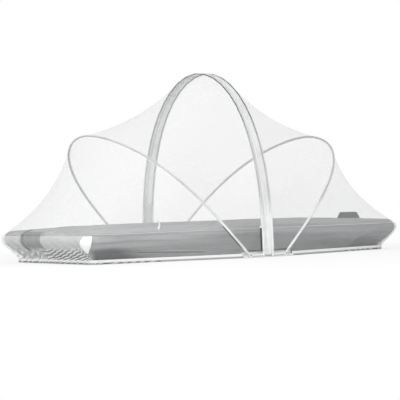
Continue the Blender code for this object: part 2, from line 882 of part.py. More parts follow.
def pivot_pin(name, side, front):
    reach = eye_spacing / 2 + eye_thickness / 2 + stitch_gap + ear_thickness + gap
    profile = [(-reach - pin_head, 0.0), (-reach - pin_head, pin_head_radius * pin_crown),
               (-reach - pin_head * 0.5, pin_head_radius), (-reach, pin_head_radius),
               (-reach, pin_radius), (reach, pin_radius), (reach, pin_head_radius),
               (reach + pin_head * 0.5, pin_head_radius),
               (reach + pin_head, pin_head_radius * pin_crown), (reach + pin_head, 0.0)]
    profile = [(-along, radius) for along, radius in profile]
    pin = turned(name, profile, (side * pin_place, front * hub_width, pin_height))
    return paint(pin, steel)


def eye(name, centre, guide=False):
    x, y, z = centre
    return cylinder(name, (x, y - eye_thickness / 2, z), (x, y + eye_thickness / 2, z),
                    eye_radius, eye_segments, guide)


def pin_bore(name, centre):
    x, y, z = centre
    return cylinder(f"{name}_pin_bore", (x, y - bore_reach, z), (x, y + bore_reach, z),
                    pin_radius + gap, guide=True)


def end_socket(name, side, front):
    centre = np.array([side * pin_place, front * end_half_width, pin_height])
    along = np.array([side * math.sin(end_tilt), 0.0, math.cos(end_tilt)])
    body = eye(name, centre)
    neck = box(f"{name}_neck", (-neck_width / 2, -eye_thickness / 2, 0.0),
               (neck_width / 2, eye_thickness / 2, socket_start + 2 * slack), True)
    neck.rotation_euler = (0.0, side * end_tilt, 0.0)
    neck.location = centre + along * (socket_start / 2 + slack)
    tube = cylinder(f"{name}_tube", centre + along * socket_start,
                    centre + along * (socket_start + socket_length), socket_radius, guide=True)
    bore = cylinder(f"{name}_rod_bore", centre + along * (socket_start + rod_seat),
                    centre + along * (socket_start + socket_length + bore_reach),
                    rod_radius + gap, guide=True)
    combine(body, [neck, tube], "UNION")
    combine(body, [pin_bore(name, centre), bore], "DIFFERENCE")
    return paint(body, white_plastic)


def centre_toe(name, side, front):
    y = front * centre_half_width
    centre = (side * pin_place, y, pin_height)
    body = eye(name, centre)
    ends = sorted((side * pin_place, side * centre_offset))
    bar = box(f"{name}_bar", (ends[0], y - eye_thickness / 2 + gap, pin_height - toe_bar / 2),
              (ends[1], y + eye_thickness / 2 - gap, pin_height + toe_bar / 2), True)
    x = side * centre_offset
    boss = cylinder(f"{name}_boss", (x, y, toe_low), (x, y, toe_high), socket_radius, guide=True)
    bore = cylinder(f"{name}_rod_bore", (x, y, toe_low + rod_seat), (x, y, toe_high + bore_reach),
                    rod_radius + gap, guide=True)
    combine(body, [bar, boss], "UNION")
    combine(body, [pin_bore(name, centre), bore], "DIFFERENCE")
    return paint(body, white_plastic)


# Zip

def front_leg_at(height):
    hoop = centre_hoop(1, centre_sleeve_start, hoop_segments)
    leg = hoop[:hoop_segments // 2]
    return float(np.interp(height, leg[:, 2], leg[:, 1]))


def zip_slider(name):
    y = front_leg_at(slider_height)
    low, high = slider_height - slider_length / 2, slider_height + slider_length / 2
    near = y - slider_channel / 2
    far = y + slider_channel / 2
    half = slider_width / 2
    body = box(name, (zip_place - half, near - slider_plate, low),
               (zip_place + half, near, high))
    back = box(f"{name}_back", (zip_place - half, far, low),
               (zip_place + half, far + slider_plate, high), True)
    post = box(f"{name}_post", (zip_place - slider_post / 2, near - slack / 2, low + slack),
               (zip_place + slider_post / 2, far + slack / 2, low + slack + post_length), True)
    joined = [post, back]
    face = near - slider_plate
    inner = pull_width / 2 + gap
    for side in (-1, 1):
        edges = sorted((side * inner, side * (inner + lug_thickness)))
        joined.append(box(f"{name}_lug",
                          (zip_place + edges[0], face - lug_reach - lug_pin_radius * lug_ease,
                           slider_height - lug_length / 2),
                          (zip_place + edges[1], face + slack / 2,
                           slider_height + lug_length / 2), True))
    joined.append(cylinder(f"{name}_lug_pin",
                           (zip_place - inner - lug_thickness / 2, face - lug_reach,
                            slider_height),
                           (zip_place + inner + lug_thickness / 2, face - lug_reach,
                            slider_height), lug_pin_radius, small_segments, True))
    combine(body, joined, "UNION")
    return paint(body, white_plastic)


def pull_axis():
    return front_leg_at(slider_height) - slider_channel / 2 - slider_plate - lug_reach


def zip_pull(name):
    y = pull_axis()
    half = pull_width / 2
    body = cylinder(name, (zip_place - half, y, slider_height),
                    (zip_place + half, y, slider_height), pull_eye_radius)
    blade = box(f"{name}_blade",
                (zip_place - half + gap, y - pull_thickness / 2, slider_height - pull_length),
                (zip_place + half - gap, y + pull_thickness / 2, slider_height), True)
    bore = cylinder(f"{name}_bore", (zip_place - 2 * half, y, slider_height),
                    (zip_place + 2 * half, y, slider_height), pull_bore_radius, small_segments, True)
    combine(body, [blade], "UNION")
    combine(body, [bore], "DIFFERENCE")
    return paint(body, white_plastic)


# A small sewn tab on the outside of the left centre sleeve.
def tie_tab(name):
    right = -centre_offset - sleeve_radius - gap
    y = front_leg_at(tab_height) - net_thickness / 2 - stitch_gap
    thing = box(name, (right - tab_width, y - tab_thickness, tab_height - tab_length / 2),
                (right, y, tab_height + tab_length / 2))
    return paint(thing, white_cloth)


# A dark strap hangs from the tab beside the sleeve, to tie the opened half back.
def tie_strap(name):
    right = -centre_offset - sleeve_radius - gap - (tab_width - strap_width) / 2
    top = tab_height - tab_length / 2 - stitch_gap
    grid = np.zeros((strap_rows + 1, 2, 3))
    for r, height in enumerate(np.linspace(strap_low, top, strap_rows + 1)):
        y = front_leg_at(height) - net_thickness / 2 - stitch_gap - strap_thickness / 2
        for edge, x in enumerate((right - strap_width, right)):
            grid[r, edge] = (x, y, height)
    return paint(cloth(name, grid, strap_thickness), dark_cloth)


# Moving groups turn about empties on their axes.

def axis_empty(name, place):
    thing = bpy.data.objects.new(name, None)
    parts.objects.link(thing)
    thing.location = place
    return thing


def carry(parent, things):
    bpy.context.view_layer.update()
    for thing in things:
        thing.parent = parent
        thing.matrix_parent_inverse = parent.matrix_world.inverted()


def build_base():
    floor_sheet("floor_sheet")
    mattress("mattress")
    piping("mattress_piping")
    tie_tape("tie_tape")
    corner_patch("corner_patch")
    standing_handle("carry_handle_right")
    hanging_flap("carry_handle_left")
    for label, side in sides.items():
        base_rod(f"base_rod_{label}", side)
        hem(f"hem_{label}", side)
        skirt(f"skirt_{label}", side)
        net_end(f"net_end_{label}", side)
    for face, front in fronts.items():
        hinge_base(f"hinge_base_{face}", front)
        hub_guard(f"hub_guard_{face}", front)
        for label, side in sides.items():
            pivot_pin(f"pivot_pin_{face}_{label}", side, front)


def build_end_hoop(label, side):
    sleeve_line, rod_line = hoop_lines(end_hoop, side, end_rod_start, end_sleeve_start)
    things = [paint(rod(f"end_hoop_{label}", rod_line, rod_radius), steel),
              paint(hollow(rod(f"end_sleeve_{label}", sleeve_line, sleeve_radius),
                           sleeve_wall), white_cloth)]
    for face, front in fronts.items():
        things.append(end_socket(f"end_socket_{face}_{label}", side, front))
    return things


def build_centre_hoop(label, side):
    sleeve_line, rod_line = hoop_lines(centre_hoop, side, centre_rod_start,
                                       centre_sleeve_start)
    things = [paint(rod(f"centre_hoop_{label}", rod_line, rod_radius), steel),
              paint(hollow(rod(f"centre_sleeve_{label}", sleeve_line, sleeve_radius),
                           sleeve_wall), white_cloth),
              net_roof(f"net_roof_{label}", side)]
    for face, front in fronts.items():
        things.append(centre_toe(f"centre_toe_{face}_{label}", side, front))
    inner = zip_place + side * chain_gap / 2
    outer = inner + side * chain_width
    seam = side * (centre_offset - sleeve_radius - stitch_gap)
    band_line = with_ends(sleeve_line, centre_hoop(side, band_start, 1))
    chain = strip(f"zip_chain_{label}", band_line, min(inner, outer), max(inner, outer),
                  chain_thickness)
    tape_edges = sorted((outer + side * gap, seam))
    tape = strip(f"centre_band_{label}", band_line, *tape_edges, band_thickness)
    things += [paint(chain, white_plastic), paint(tape, white_cloth)]
    return things


def build_moving():
    for label, side in sides.items():
        pivot = (side * pin_place, 0.0, pin_height)
        end_axis = axis_empty(f"end_{label}_axis", pivot)
        centre_axis = axis_empty(f"centre_{label}_axis", pivot)
        carry(end_axis, build_end_hoop(label, side) + [centre_axis])
        things = build_centre_hoop(label, side)
        if label == "left":
            things += [tie_tab("tie_tab"), tie_strap("tie_strap")]
        carry(centre_axis, things)
    slider_axis = axis_empty("slider_axis", (zip_place, front_leg_at(slider_height),
                                             slider_height))
    carry(slider_axis, [zip_slider("zip_slider")])
    swing_axis = axis_empty("pull_axis", (zip_place, pull_axis(), slider_height))
    carry(swing_axis, [zip_pull("zip_pull")])
    carry(slider_axis, [swing_axis])
    carry(bpy.data.objects["centre_right_axis"], [slider_axis])


build_base()
build_moving()
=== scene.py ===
# Pop-up mosquito net over a single mattress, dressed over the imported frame.
import math

import bmesh
import bpy
import numpy as np
from mathutils import Matrix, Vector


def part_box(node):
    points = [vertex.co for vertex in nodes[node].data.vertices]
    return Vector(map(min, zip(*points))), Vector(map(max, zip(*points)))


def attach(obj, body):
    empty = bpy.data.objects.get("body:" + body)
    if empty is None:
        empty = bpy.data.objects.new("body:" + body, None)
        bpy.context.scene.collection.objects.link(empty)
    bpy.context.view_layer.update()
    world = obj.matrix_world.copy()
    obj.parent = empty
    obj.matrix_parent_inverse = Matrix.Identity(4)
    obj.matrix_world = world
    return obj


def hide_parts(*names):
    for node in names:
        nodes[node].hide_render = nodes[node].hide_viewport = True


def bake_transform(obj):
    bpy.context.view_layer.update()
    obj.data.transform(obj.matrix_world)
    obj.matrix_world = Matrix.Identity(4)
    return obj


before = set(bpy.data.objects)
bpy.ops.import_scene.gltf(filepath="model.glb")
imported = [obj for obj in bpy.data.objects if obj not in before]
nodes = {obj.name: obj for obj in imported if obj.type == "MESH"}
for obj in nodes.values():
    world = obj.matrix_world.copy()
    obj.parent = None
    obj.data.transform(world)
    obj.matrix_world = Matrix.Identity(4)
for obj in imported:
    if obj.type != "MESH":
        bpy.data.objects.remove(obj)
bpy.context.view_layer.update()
scene = bpy.context.scene
print("frame loaded:", len(nodes), "nodes")


# Shader maths.

class Signal:  # one socket of a material, used like a number
    def __init__(self, finish, socket):
        self.finish, self.socket = finish, socket

    def sum(self, operation, *terms):
        values = {i: t for i, t in enumerate(terms)}
        return self.finish.node("ShaderNodeMath", {"operation": operation}, values)

    def __add__(self, other): return self.sum("ADD", self, other)
    def __radd__(self, other): return self.sum("ADD", other, self)
    def __sub__(self, other): return self.sum("SUBTRACT", self, other)
    def __rsub__(self, other): return self.sum("SUBTRACT", other, self)
    def __mul__(self, other): return self.sum("MULTIPLY", self, other)
    def __rmul__(self, other): return self.sum("MULTIPLY", other, self)
    def __truediv__(self, other): return self.sum("DIVIDE", self, other)
    def __rtruediv__(self, other): return self.sum("DIVIDE", other, self)
    def __pow__(self, other): return self.sum("POWER", self, other)
    def sine(self): return self.sum("SINE", self)
    def size(self): return self.sum("ABSOLUTE", self)
    def least(self, other): return self.sum("MINIMUM", self, other)
    def most(self, other): return self.sum("MAXIMUM", self, other)


class Finish:  # one material and the nodes it is made of
    def __init__(self, name, **sockets):
        self.material = bpy.data.materials.new(name)
        self.material.use_nodes = True
        self.tree = self.material.node_tree
        self.shader = self.tree.nodes["Principled BSDF"]
        for socket, value in sockets.items():
            self.put(self.shader.inputs[socket.replace("_", " ")], value)

    def put(self, socket, value):
        if isinstance(value, Signal):
            self.tree.links.new(value.socket, socket)
        elif isinstance(value, (tuple, list)) and socket.type == "RGBA":
            socket.default_value = (*value[:3], 1.0)
        else:
            socket.default_value = value

    def node(self, kind, settings=None, values=None, output=0):
        made = self.tree.nodes.new(kind)
        for key, value in (settings or {}).items():
            setattr(made, key, value)
        for key, value in (values or {}).items():
            self.put(made.inputs[key], value)
        return Signal(self, made.outputs[output])

    def feed(self, socket, value):
        self.put(self.shader.inputs[socket], value)
        return self

    def place(self):
        return self.node("ShaderNodeTexCoord", output=3)

    def cut(self):  # metres along and across the cloth
        return self.node("ShaderNodeUVMap", {"uv_map": "cut"})

    def parts(self, vector):
        split = self.tree.nodes.new("ShaderNodeSeparateXYZ")
        self.tree.links.new(vector.socket, split.inputs[0])
        return [Signal(self, split.outputs[i]) for i in range(3)]

    def stretch(self, vector, scale):
        return self.node("ShaderNodeMapping", {}, {0: vector, 3: scale})

    def noise(self, vector, scale, detail=2.0, roughness=0.5):
        return self.node("ShaderNodeTexNoise", {}, {"Vector": vector, "Scale": scale,
                                                    "Detail": detail, "Roughness": roughness})

    def between(self, value, low, high, toLow=0.0, toHigh=1.0):
        return self.node("ShaderNodeMapRange", {"interpolation_type": "SMOOTHSTEP"},
                         {0: value, 1: low, 2: high, 3: toLow, 4: toHigh})

    def paint(self, tone):  # the base colour, which washes then go over
        self.tone = tone
        return self.feed("Base Color", tone)

    def wash(self, factor, colour):
        blend = {0: factor, 6: self.tone, 7: colour}
        return self.paint(self.node("ShaderNodeMix", {"data_type": "RGBA"}, blend, 2))

    def bump(self, height, distance, strength=1.0, under=None):
        values = {"Height": height, "Distance": distance, "Strength": strength}
        if under is not None:
            values["Normal"] = under
        return self.node("ShaderNodeBump", {}, values)

    def attribute(self, name):
        return self.node("ShaderNodeAttribute", {"attribute_name": name}, output=2)


def waves(finish, vector, pitch):
    return [(part * (2 * math.pi / pitch)).sine() for part in finish.parts(vector)]


def weave(finish, vector, pitch):  # over and under threads, about -1 to 1
    across, along, up = waves(finish, vector, pitch)
    return across * along + up * 0.3


def lattice(finish, vector, pitch):  # the same on any flat side of a solid
    across, along, up = waves(finish, vector, pitch)
    return (across + along + up) * 0.4


def grey(level, share=1.0):  # a slightly cool grey
    return (level * share, (level + 0.005) * share, (level + 0.01) * share)


# Finishes.

netLook = {"colour": grey(0.84), "hole": 0.065, "thread": 0.28, "pitch": 0.0021, "edge": 0.6,
           "cloud": 2.2, "uneven": 0.1, "relief": 0.0003}


def netFinish():  # hexagonal cells, where three waves cross at 60 degrees
    net = Finish("netMesh", Roughness=0.85, Base_Color=netLook["colour"], Specular_IOR_Level=0.2)
    u, v, _ = net.parts(net.cut())
    turns = 2 * math.pi / netLook["pitch"]
    half, up = u * (turns * 0.5), v * (turns * math.sqrt(0.75))
    waves = [(turn + math.pi / 2).sine() for turn in (u * turns, half + up, half - up)]
    thread = net.between(waves[0] + waves[1] + waves[2], netLook["edge"], -netLook["edge"])
    cloud = net.noise(net.place(), netLook["cloud"], 1.0)
    gather = net.between(cloud, 0.3, 0.7, 1.0 - netLook["uneven"], 1.0 + netLook["uneven"])
    alpha = net.between(thread, 0.0, 1.0, netLook["hole"], netLook["thread"]) * gather
    return net.feed("Alpha", alpha).feed("Normal", net.bump(thread, netLook["relief"]))


clothLook = {"pitch": 0.0011, "white": 0.84, "seam": 0.90, "tape": 0.97, "foot": 0.80, "worn": 9.0,
             "grain": 0.12}


def clothFinish(name, level, pitch=clothLook["pitch"], alpha=1.0, depth=0.00025, shade=0.86):
    cloth = Finish(name, Roughness=0.82, Sheen_Weight=0.15, Specular_IOR_Level=0.25)
    grain = weave(cloth, cloth.cut(), pitch)
    worn = cloth.between(cloth.noise(cloth.place(), clothLook["worn"], 3.0), 0.3, 0.7)
    cloth.paint(grey(level)).wash(worn * -1.0 + 1.0, grey(level, shade))
    cloth.wash(cloth.between(grain, 0.3, -0.6, 0.0, clothLook["grain"]), grey(level, 0.7))
    cloth.feed("Normal", cloth.bump(grain, depth))
    if alpha < 1.0:
        cloth.feed("Alpha", cloth.between(grain, -0.5, 0.5, alpha * 0.8, min(1.0, alpha * 1.2)))
    return cloth


plasticLook = {"drawn": (1.0, 1.0, 6.0), "scuffs": 60.0, "grain": 900.0, "relief": 0.00006}
steelLook = {"drawn": 360.0}


def plasticFinish(name, level, roughness=0.42):
    plastic = Finish(name)
    scuffs = plastic.noise(plastic.stretch(plastic.place(), plasticLook["drawn"]), plasticLook["scuffs"], 4.0)
    plastic.paint(grey(level, 0.88)).wash(plastic.between(scuffs, 0.35, 0.7), grey(level))
    plastic.feed("Roughness", plastic.between(scuffs, 0.3, 0.7, roughness + 0.12, roughness - 0.06))
    grain = plastic.noise(plastic.place(), plasticLook["grain"], 2.0)
    return plastic.feed("Normal", plastic.bump(grain, plasticLook["relief"]))


def steelFinish(name, level, roughness=0.32):
    steel = Finish(name, Metallic=1.0)
    drawn = steel.noise(steel.place(), steelLook["drawn"], 5.0, 0.7)
    steel.paint(grey(level, 0.72)).wash(steel.between(drawn, 0.35, 0.7), grey(level))
    return steel.feed("Roughness", steel.between(drawn, 0.3, 0.7, roughness + 0.14, roughness - 0.05))


sleeveLook = {"level": 0.96, "foot": 1.0, "band": 0.56, "end": 0.60, "endTop": 0.38, "centre": 0.55,
              "top": 0.12, "low": (0.16, 0.34), "high": (0.42, 0.80)}


def sleeveFinish(name, upper, top):  # opaque at the foot and more see-through higher up, so more of the dark wire shows: painted shade on the hoops' upper parts
    sleeve = clothFinish(name, sleeveLook["level"])
    height = sleeve.parts(sleeve.place())[2]
    level = sleeve.between(height, *sleeveLook["low"], sleeveLook["foot"], upper)
    return sleeve.feed("Alpha", level - sleeve.between(height, *sleeveLook["high"], 0.0, upper - top))


legShadowLook = {"dark": 0.03, "thin": 0.45, "low": 0.035, "high": 0.150, "fade": 0.02, "place": -0.10}


def legFinish():  # the end panels' seam, with a painted shadow along the left hoop's legs, where it is also more opaque
    seam = clothFinish("legSeamShadow", clothLook["seam"])
    x, _, z = seam.parts(seam.place())
    low, high, place, fade = (legShadowLook[key] for key in ("low", "high", "place", "fade"))
    span = seam.between(z, low, low + fade) * seam.between(z, high + fade, high)
    span = span * seam.between(x, place, place - fade)
    # painted shadow: near black beside the left hoop's legs
    seam.paint(grey(clothLook["seam"])).wash(span, (legShadowLook["dark"],) * 3)
    return seam.feed("Alpha", span * (1.0 - legShadowLook["thin"]) + legShadowLook["thin"])


flapLook = {"level": 0.22, "dark": 0.055, "light": 0.60, "far": 0.185, "near": 0.004, "top": -0.930,
            "foldPitch": 0.034, "foldLean": 14.0, "foldLow": 0.070, "foldHigh": 0.098, "pitch": 0.0018,
            "worn": (9.0, 30.0, 6.0), "relief": 0.0005}


def flapFinish():  # dark, darkest along the rolled far edge, with a painted highlight along the near edge and where the far edge runs over the top, and painted shade in the lower folds
    cloth = Finish("flapCloth", Roughness=0.85, Sheen_Weight=0.15)
    grain = weave(cloth, cloth.cut(), flapLook["pitch"])
    x, y, z = cloth.parts(cloth.place())
    far, near, top = (flapLook[key] for key in ("far", "near", "top"))
    dark, light = grey(flapLook["dark"]), grey(flapLook["light"])
    worn = cloth.noise(cloth.stretch(cloth.place(), flapLook["worn"]), 1.0, 3.0)
    cloth.paint(grey(flapLook["level"], 0.72)).wash(cloth.between(worn, 0.3, 0.7), grey(flapLook["level"]))
    # darkest along the rolled far edge; painted highlight along the near edge
    cloth.wash(cloth.between(y, far - 0.010, far), dark).wash(cloth.between(y, near, near - 0.004), light)
    # painted shade in the valleys of the lower folds
    valleyShade = (y * (2 * math.pi / flapLook["foldPitch"]) + z * flapLook["foldLean"]).sine()
    low = cloth.between(z, flapLook["foldHigh"], flapLook["foldLow"])
    cloth.wash(cloth.between(valleyShade, 0.3, -0.7) * low * 0.75, dark)
    # painted highlight where the far edge runs over the top
    cloth.wash(cloth.between(x, top, top + 0.008) * cloth.between(y, far, far - 0.015) * 0.8, light)
    cloth.wash(cloth.between(grain, 0.3, -0.6, 0.0, 0.2), dark)
    return cloth.feed("Normal", cloth.bump(grain, flapLook["relief"]))


pleatLook = {"ridge": 0.97, "flat": 0.88, "valleyShade": 0.22, "end": 0.50, "side": 0.12, "ridgeMore": 0.45,
             "pitch": 0.0016, "shade": 0.60}


def pleatFinish():  # thin where it lies flat and more opaque on each fold, with a painted highlight on each ridge and painted shade in each valley
    cloth = Finish("skirtCloth", Roughness=0.82, Specular_IOR_Level=0.2)
    grain = weave(cloth, cloth.cut(), pleatLook["pitch"])
    fold = cloth.attribute("fold")
    # painted shade in each fold's valley, painted highlight on each ridge
    cloth.paint(grey(pleatLook["flat"])).wash(cloth.between(fold, 0.44, 0.12), grey(pleatLook["valleyShade"]))
    cloth.wash(cloth.between(fold, 0.56, 0.85), grey(pleatLook["ridge"]))
    dense = cloth.between(cloth.attribute("dense"), 0.0, 1.0, pleatLook["side"], pleatLook["end"])
    alpha = (dense + (fold - 0.5).size() * 2.0 * pleatLook["ridgeMore"]).least(1.0)
    return cloth.feed("Alpha", alpha).feed("Normal", cloth.bump(grain, 0.0002))


def gatherFinish():  # the hem's binding, creased where the skirt is gathered on it, with painted shade on its lower half and in the gathers' valleys, most low down
    cloth = clothFinish("hemCloth", pleatLook["flat"])
    fold = cloth.attribute("fold")
    height = cloth.parts(cloth.place())[2]
    # painted shade low in each gather's valley
    low = cloth.between(height, 0.0110, 0.0070) * cloth.between(fold, 0.80, 0.55)
    low = low * cloth.between(fold, 0.501, 0.499)
    # painted shade on the lower half
    cloth.paint(grey(clothLook["seam"])).wash(cloth.between(height, 0.0125, 0.0085), grey(pleatLook["shade"]))
    return cloth.wash((cloth.between(fold, 0.46, 0.10) + low).least(1.0), grey(pleatLook["valleyShade"]))


quilt = {"level": 0.50, "dark": 0.25, "deepShade": 0.07, "pale": 0.66, "crest": 0.80, "pitch": 0.0024,
         "crease": 0.0415, "creaseMiddle": -0.46, "creaseReach": 0.24, "creaseFall": 0.037,
         "tuckPlace": -0.075, "tuckReach": 0.085, "tuckPitch": 0.011, "tuckLean": 30.0,
         "fleck": (40.0, 220.0, 220.0), "streak": (1.6, 9.0, 42.0), "ruck": (2.0, 14.0, 30.0),
         "rightShade": 0.46, "rimShade": 0.08, "footLight": 0.30, "corner": 0.95, "front": (-0.30, -0.36)}


def quiltFinish():
    knit = Finish("heatherKnit", Roughness=0.92, Specular_IOR_Level=0.2, Sheen_Weight=0.25)
    dark, deepShade = grey(quilt["dark"]), grey(quilt["deepShade"])
    spot = knit.place()
    x, y, z = knit.parts(spot)
    fleck = knit.noise(knit.stretch(spot, quilt["fleck"]), 4.0, 4.0, 0.65)
    streak = knit.noise(knit.stretch(spot, quilt["streak"]), 1.0, 3.0, 0.6)
    stitch = lattice(knit, spot, quilt["pitch"])
    mixed = knit.between(fleck, 0.36, 0.66) * 0.35 + knit.between(streak, 0.36, 0.62) * 0.65
    knit.paint(dark).wash(mixed, grey(quilt["level"])).wash(knit.between(stitch, 0.5, -0.5, 0.0, 0.14), dark)
    near = knit.between(y, *quilt["front"])
    # painted shade: darker towards the right end, away from the key light
    shade = knit.between(x, -0.95, 0.60) * quilt["rightShade"]
    # painted shade on the top above the shoulder
    shade = shade + knit.between(z, 0.160, 0.172) * quilt["rimShade"]
    # painted light low on the sides of the left half, for bounce from the floor
    foot = knit.between(z, 0.110, 0.040) * knit.between(x, 0.35, 0.0)
    knit.wash(shade, dark).wash(foot * quilt["footLight"], grey(quilt["pale"]))
    # painted shadow in the undercut at the front-left corner
    corner = knit.between(x + z * 2.2, -0.50, -0.66) * knit.between(z, 0.092, 0.058) * near
    knit.wash(corner * quilt["corner"], deepShade)
    # painted shade along a crease low on the front, with a painted highlight on the swell above it
    along = x - quilt["creaseMiddle"]
    level = z - quilt["crease"] + along * quilt["creaseFall"]
    span = knit.between(along.size(), quilt["creaseReach"], quilt["creaseReach"] * 0.6) * near
    knit.wash(knit.between(level.size(), 0.0045, 0.0010) * span * 0.85, deepShade)
    creaseHighlight = knit.between((level - 0.0062).size(), 0.0030, 0.0012) * span * knit.between(x, -0.54, -0.48)
    knit.wash(creaseHighlight * 0.55, grey(quilt["crest"]))
    rucks = knit.noise(knit.stretch(spot, quilt["ruck"]), 3.0, 3.0)
    where = knit.between((x - quilt["tuckPlace"]).size(), quilt["tuckReach"], 0.02)
    tuck = (x * (2 * math.pi / quilt["tuckPitch"]) + z * quilt["tuckLean"]).sine()
    tuck = tuck * where * knit.between(y, -0.30, -0.42)
    under = knit.bump(tuck, 0.0012, 0.8, knit.bump(rucks, 0.004, 0.6))
    return knit.feed("Normal", knit.bump(stitch, 0.0004, 1.0, under))


net = netFinish()
whiteCloth = clothFinish("whiteCloth", clothLook["white"])
tapeCloth = clothFinish("tapeCloth", clothLook["tape"], shade=0.97)
endSleeveCloth = sleeveFinish("endSleeveCloth", sleeveLook["end"], sleeveLook["endTop"])
centreSleeveCloth = sleeveFinish("centreSleeveCloth", sleeveLook["centre"], sleeveLook["top"])
bandCloth = sleeveFinish("bandCloth", sleeveLook["band"], sleeveLook["band"])
seamCloth = clothFinish("seamCloth", clothLook["seam"], alpha=0.45)
footCloth = clothFinish("footSeam", clothLook["foot"], alpha=0.20)
legSeamShadow, flapCloth, skirtCloth = legFinish(), flapFinish(), pleatFinish()
hemCloth, heatherKnit = gatherFinish(), quiltFinish()
handleCloth = clothFinish("handleCloth", 0.17, 0.0018, depth=0.0005, shade=0.75)
# near-black strap cloth, a painted shadow beside the left centre hoop's leg
strapShadeCloth = clothFinish("strapShadeCloth", 0.075, 0.0014, depth=0.0004, shade=0.75)
threadCloth = clothFinish("sewingThread", 0.80, 0.0006)
whitePlastic, zipPlastic = plasticFinish("whitePlastic", 0.82), plasticFinish("zipPlastic", 0.86, 0.35)
wireSteel, pinSteel = steelFinish("wireSteel", 0.13), steelFinish("pinSteel", 0.45, 0.25)
print("finishes made")


# Shapes shared by several pieces, from the frame's sizes.

mattress = {"length": 1.90, "width": 0.90, "corner": 0.067, "undercut": 0.090, "widest": 0.116,
            "shoulderInset": 0.050, "shoulder": 0.160, "crown": 0.180, "leastCorner": 0.02,
            "piping": 0.138, "pipingRadius": 0.0015}
base = {"sheet": 0.0015, "inset": 0.065, "corner": 0.030, "hemHeight": 0.020,
        "hemThickness": 0.008, "plate": 0.1500, "gap": 0.0003}
centre = {"halfWidth": 0.5471, "height": 0.9402, "offset": 0.0280, "roundness": (1.018, 0.794),
          "sleeveStart": 0.0343, "bandStart": 0.0100}
end = {"halfWidth": 0.5417, "height": 0.8575, "foot": 0.0952, "tilt": math.radians(43.95),
       "roundness": (1.118, 0.599), "sleeveStart": 0.0490534}
sewn = {"sleeve": 0.0055, "reach": 0.0059, "seamClear": 0.0110, "drapeClear": 0.0090,
        "seam": 0.138, "tail": 0.560, "netHalf": 0.0006, "skirtGap": 0.0007}

halfLength, halfWidth = mattress["length"] / 2, mattress["width"] / 2
hemTop = base["sheet"] + base["gap"] + base["hemHeight"]
netFoot = hemTop + sewn["netHalf"] + base["gap"]
baseLength = halfLength - base["inset"]
baseWidth = halfWidth - base["inset"]
hubWidth = centre["halfWidth"] - 0.0027
sideSlope = (hubWidth - baseWidth) / (baseLength - base["plate"])
hemStart = base["plate"] + base["gap"] + sideSlope * base["hemThickness"] / 2
sides = {"left": -1, "right": 1}


def ease(share):
    share = np.clip(share, 0.0, 1.0)
    return share * share * (3.0 - 2.0 * share)


def ripple(points, seed, scale, count=14):  # smooth wander, about -1 to 1
    pick = np.random.default_rng(seed)
    ways = pick.normal(size=(count, 3))
    ways /= np.linalg.norm(ways, axis=1, keepdims=True)
    ways *= pick.uniform(0.6, 1.5, (count, 1)) * 2 * math.pi
    turn = pick.uniform(0.0, 2 * math.pi, count)
    return np.sin((points / np.array(scale)) @ ways.T + turn).sum(axis=-1) / count * 2.2


def arcs(line):  # the length along a line, at each of its points
    return np.cumsum([0.0, *np.linalg.norm(np.diff(line, axis=0), axis=1)])


def evenPoints(curve, start, segments):
    length = arcs(curve)
    wanted = np.linspace(start, length[-1] - start, segments + 1)
    return np.stack([np.interp(wanted, length, curve[:, k]) for k in range(curve.shape[1])], axis=1)


def hoopCurve(hoop):
    turn = np.linspace(0.0, math.pi, 4000)
    across = -np.sign(np.cos(turn)) * np.abs(np.cos(turn)) ** hoop["roundness"][0]
    rise = np.abs(np.sin(turn)) ** hoop["roundness"][1]
    return np.stack([across * hoop["halfWidth"], rise * hoop["height"]], axis=1)


def centreLine(side, segments, start=None):
    flat = evenPoints(hoopCurve(centre), centre["sleeveStart"] if start is None else start, segments)
    return np.stack([np.full(len(flat), side * centre["offset"]), flat[:, 0], flat[:, 1]], axis=1)


def endLine(side, segments):
    flat = evenPoints(hoopCurve(end), end["sleeveStart"], segments)
    return np.stack([side * (end["foot"] + flat[:, 1] * math.sin(end["tilt"])), flat[:, 0],
                     flat[:, 1] * math.cos(end["tilt"])], axis=1)


def insetBelow(height):
    return mattress["undercut"] * (1.0 - (height / mattress["widest"]) ** 2) ** 2


def insetAbove(height):
    rise = (height - mattress["widest"]) / (mattress["shoulder"] - mattress["widest"])
    return mattress["shoulderInset"] * (1.0 - np.sqrt(1.0 - np.clip(rise, 0.0, 1.0) ** 2))


def insetAt(height):
    return np.where(height < mattress["widest"], insetBelow(height), insetAbove(height))


def crownAt(inset):
    shoulder, rim = mattress["shoulder"], mattress["shoulderInset"]
    inwards = np.clip((inset - rim) / (halfWidth - rim), 0.0, 1.0)
    crown = shoulder + (mattress["crown"] - shoulder) * np.sin(inwards * math.pi / 2)
    edge = np.clip(inset / rim, 0.0, 1.0)
    low = mattress["widest"]
    return np.where(inset < rim, low + (shoulder - low) * np.sqrt(1 - (1 - edge) ** 2), crown)


def outsideBy(points):  # distance outside the widest line, and the way out
    core = np.array([halfLength, halfWidth]) - mattress["corner"]
    fromCore = np.abs(points[..., :2]) - core
    outside = np.maximum(fromCore, 0.0)
    length = np.linalg.norm(outside, axis=-1, keepdims=True)
    nearest = fromCore == fromCore.max(axis=-1, keepdims=True)
    way = np.where(length > 0.0, outside / np.maximum(length, base["gap"]), nearest)
    distance = length[..., 0] + np.minimum(fromCore.max(axis=-1), 0.0) - mattress["corner"]
    return distance, way * np.sign(points[..., :2])


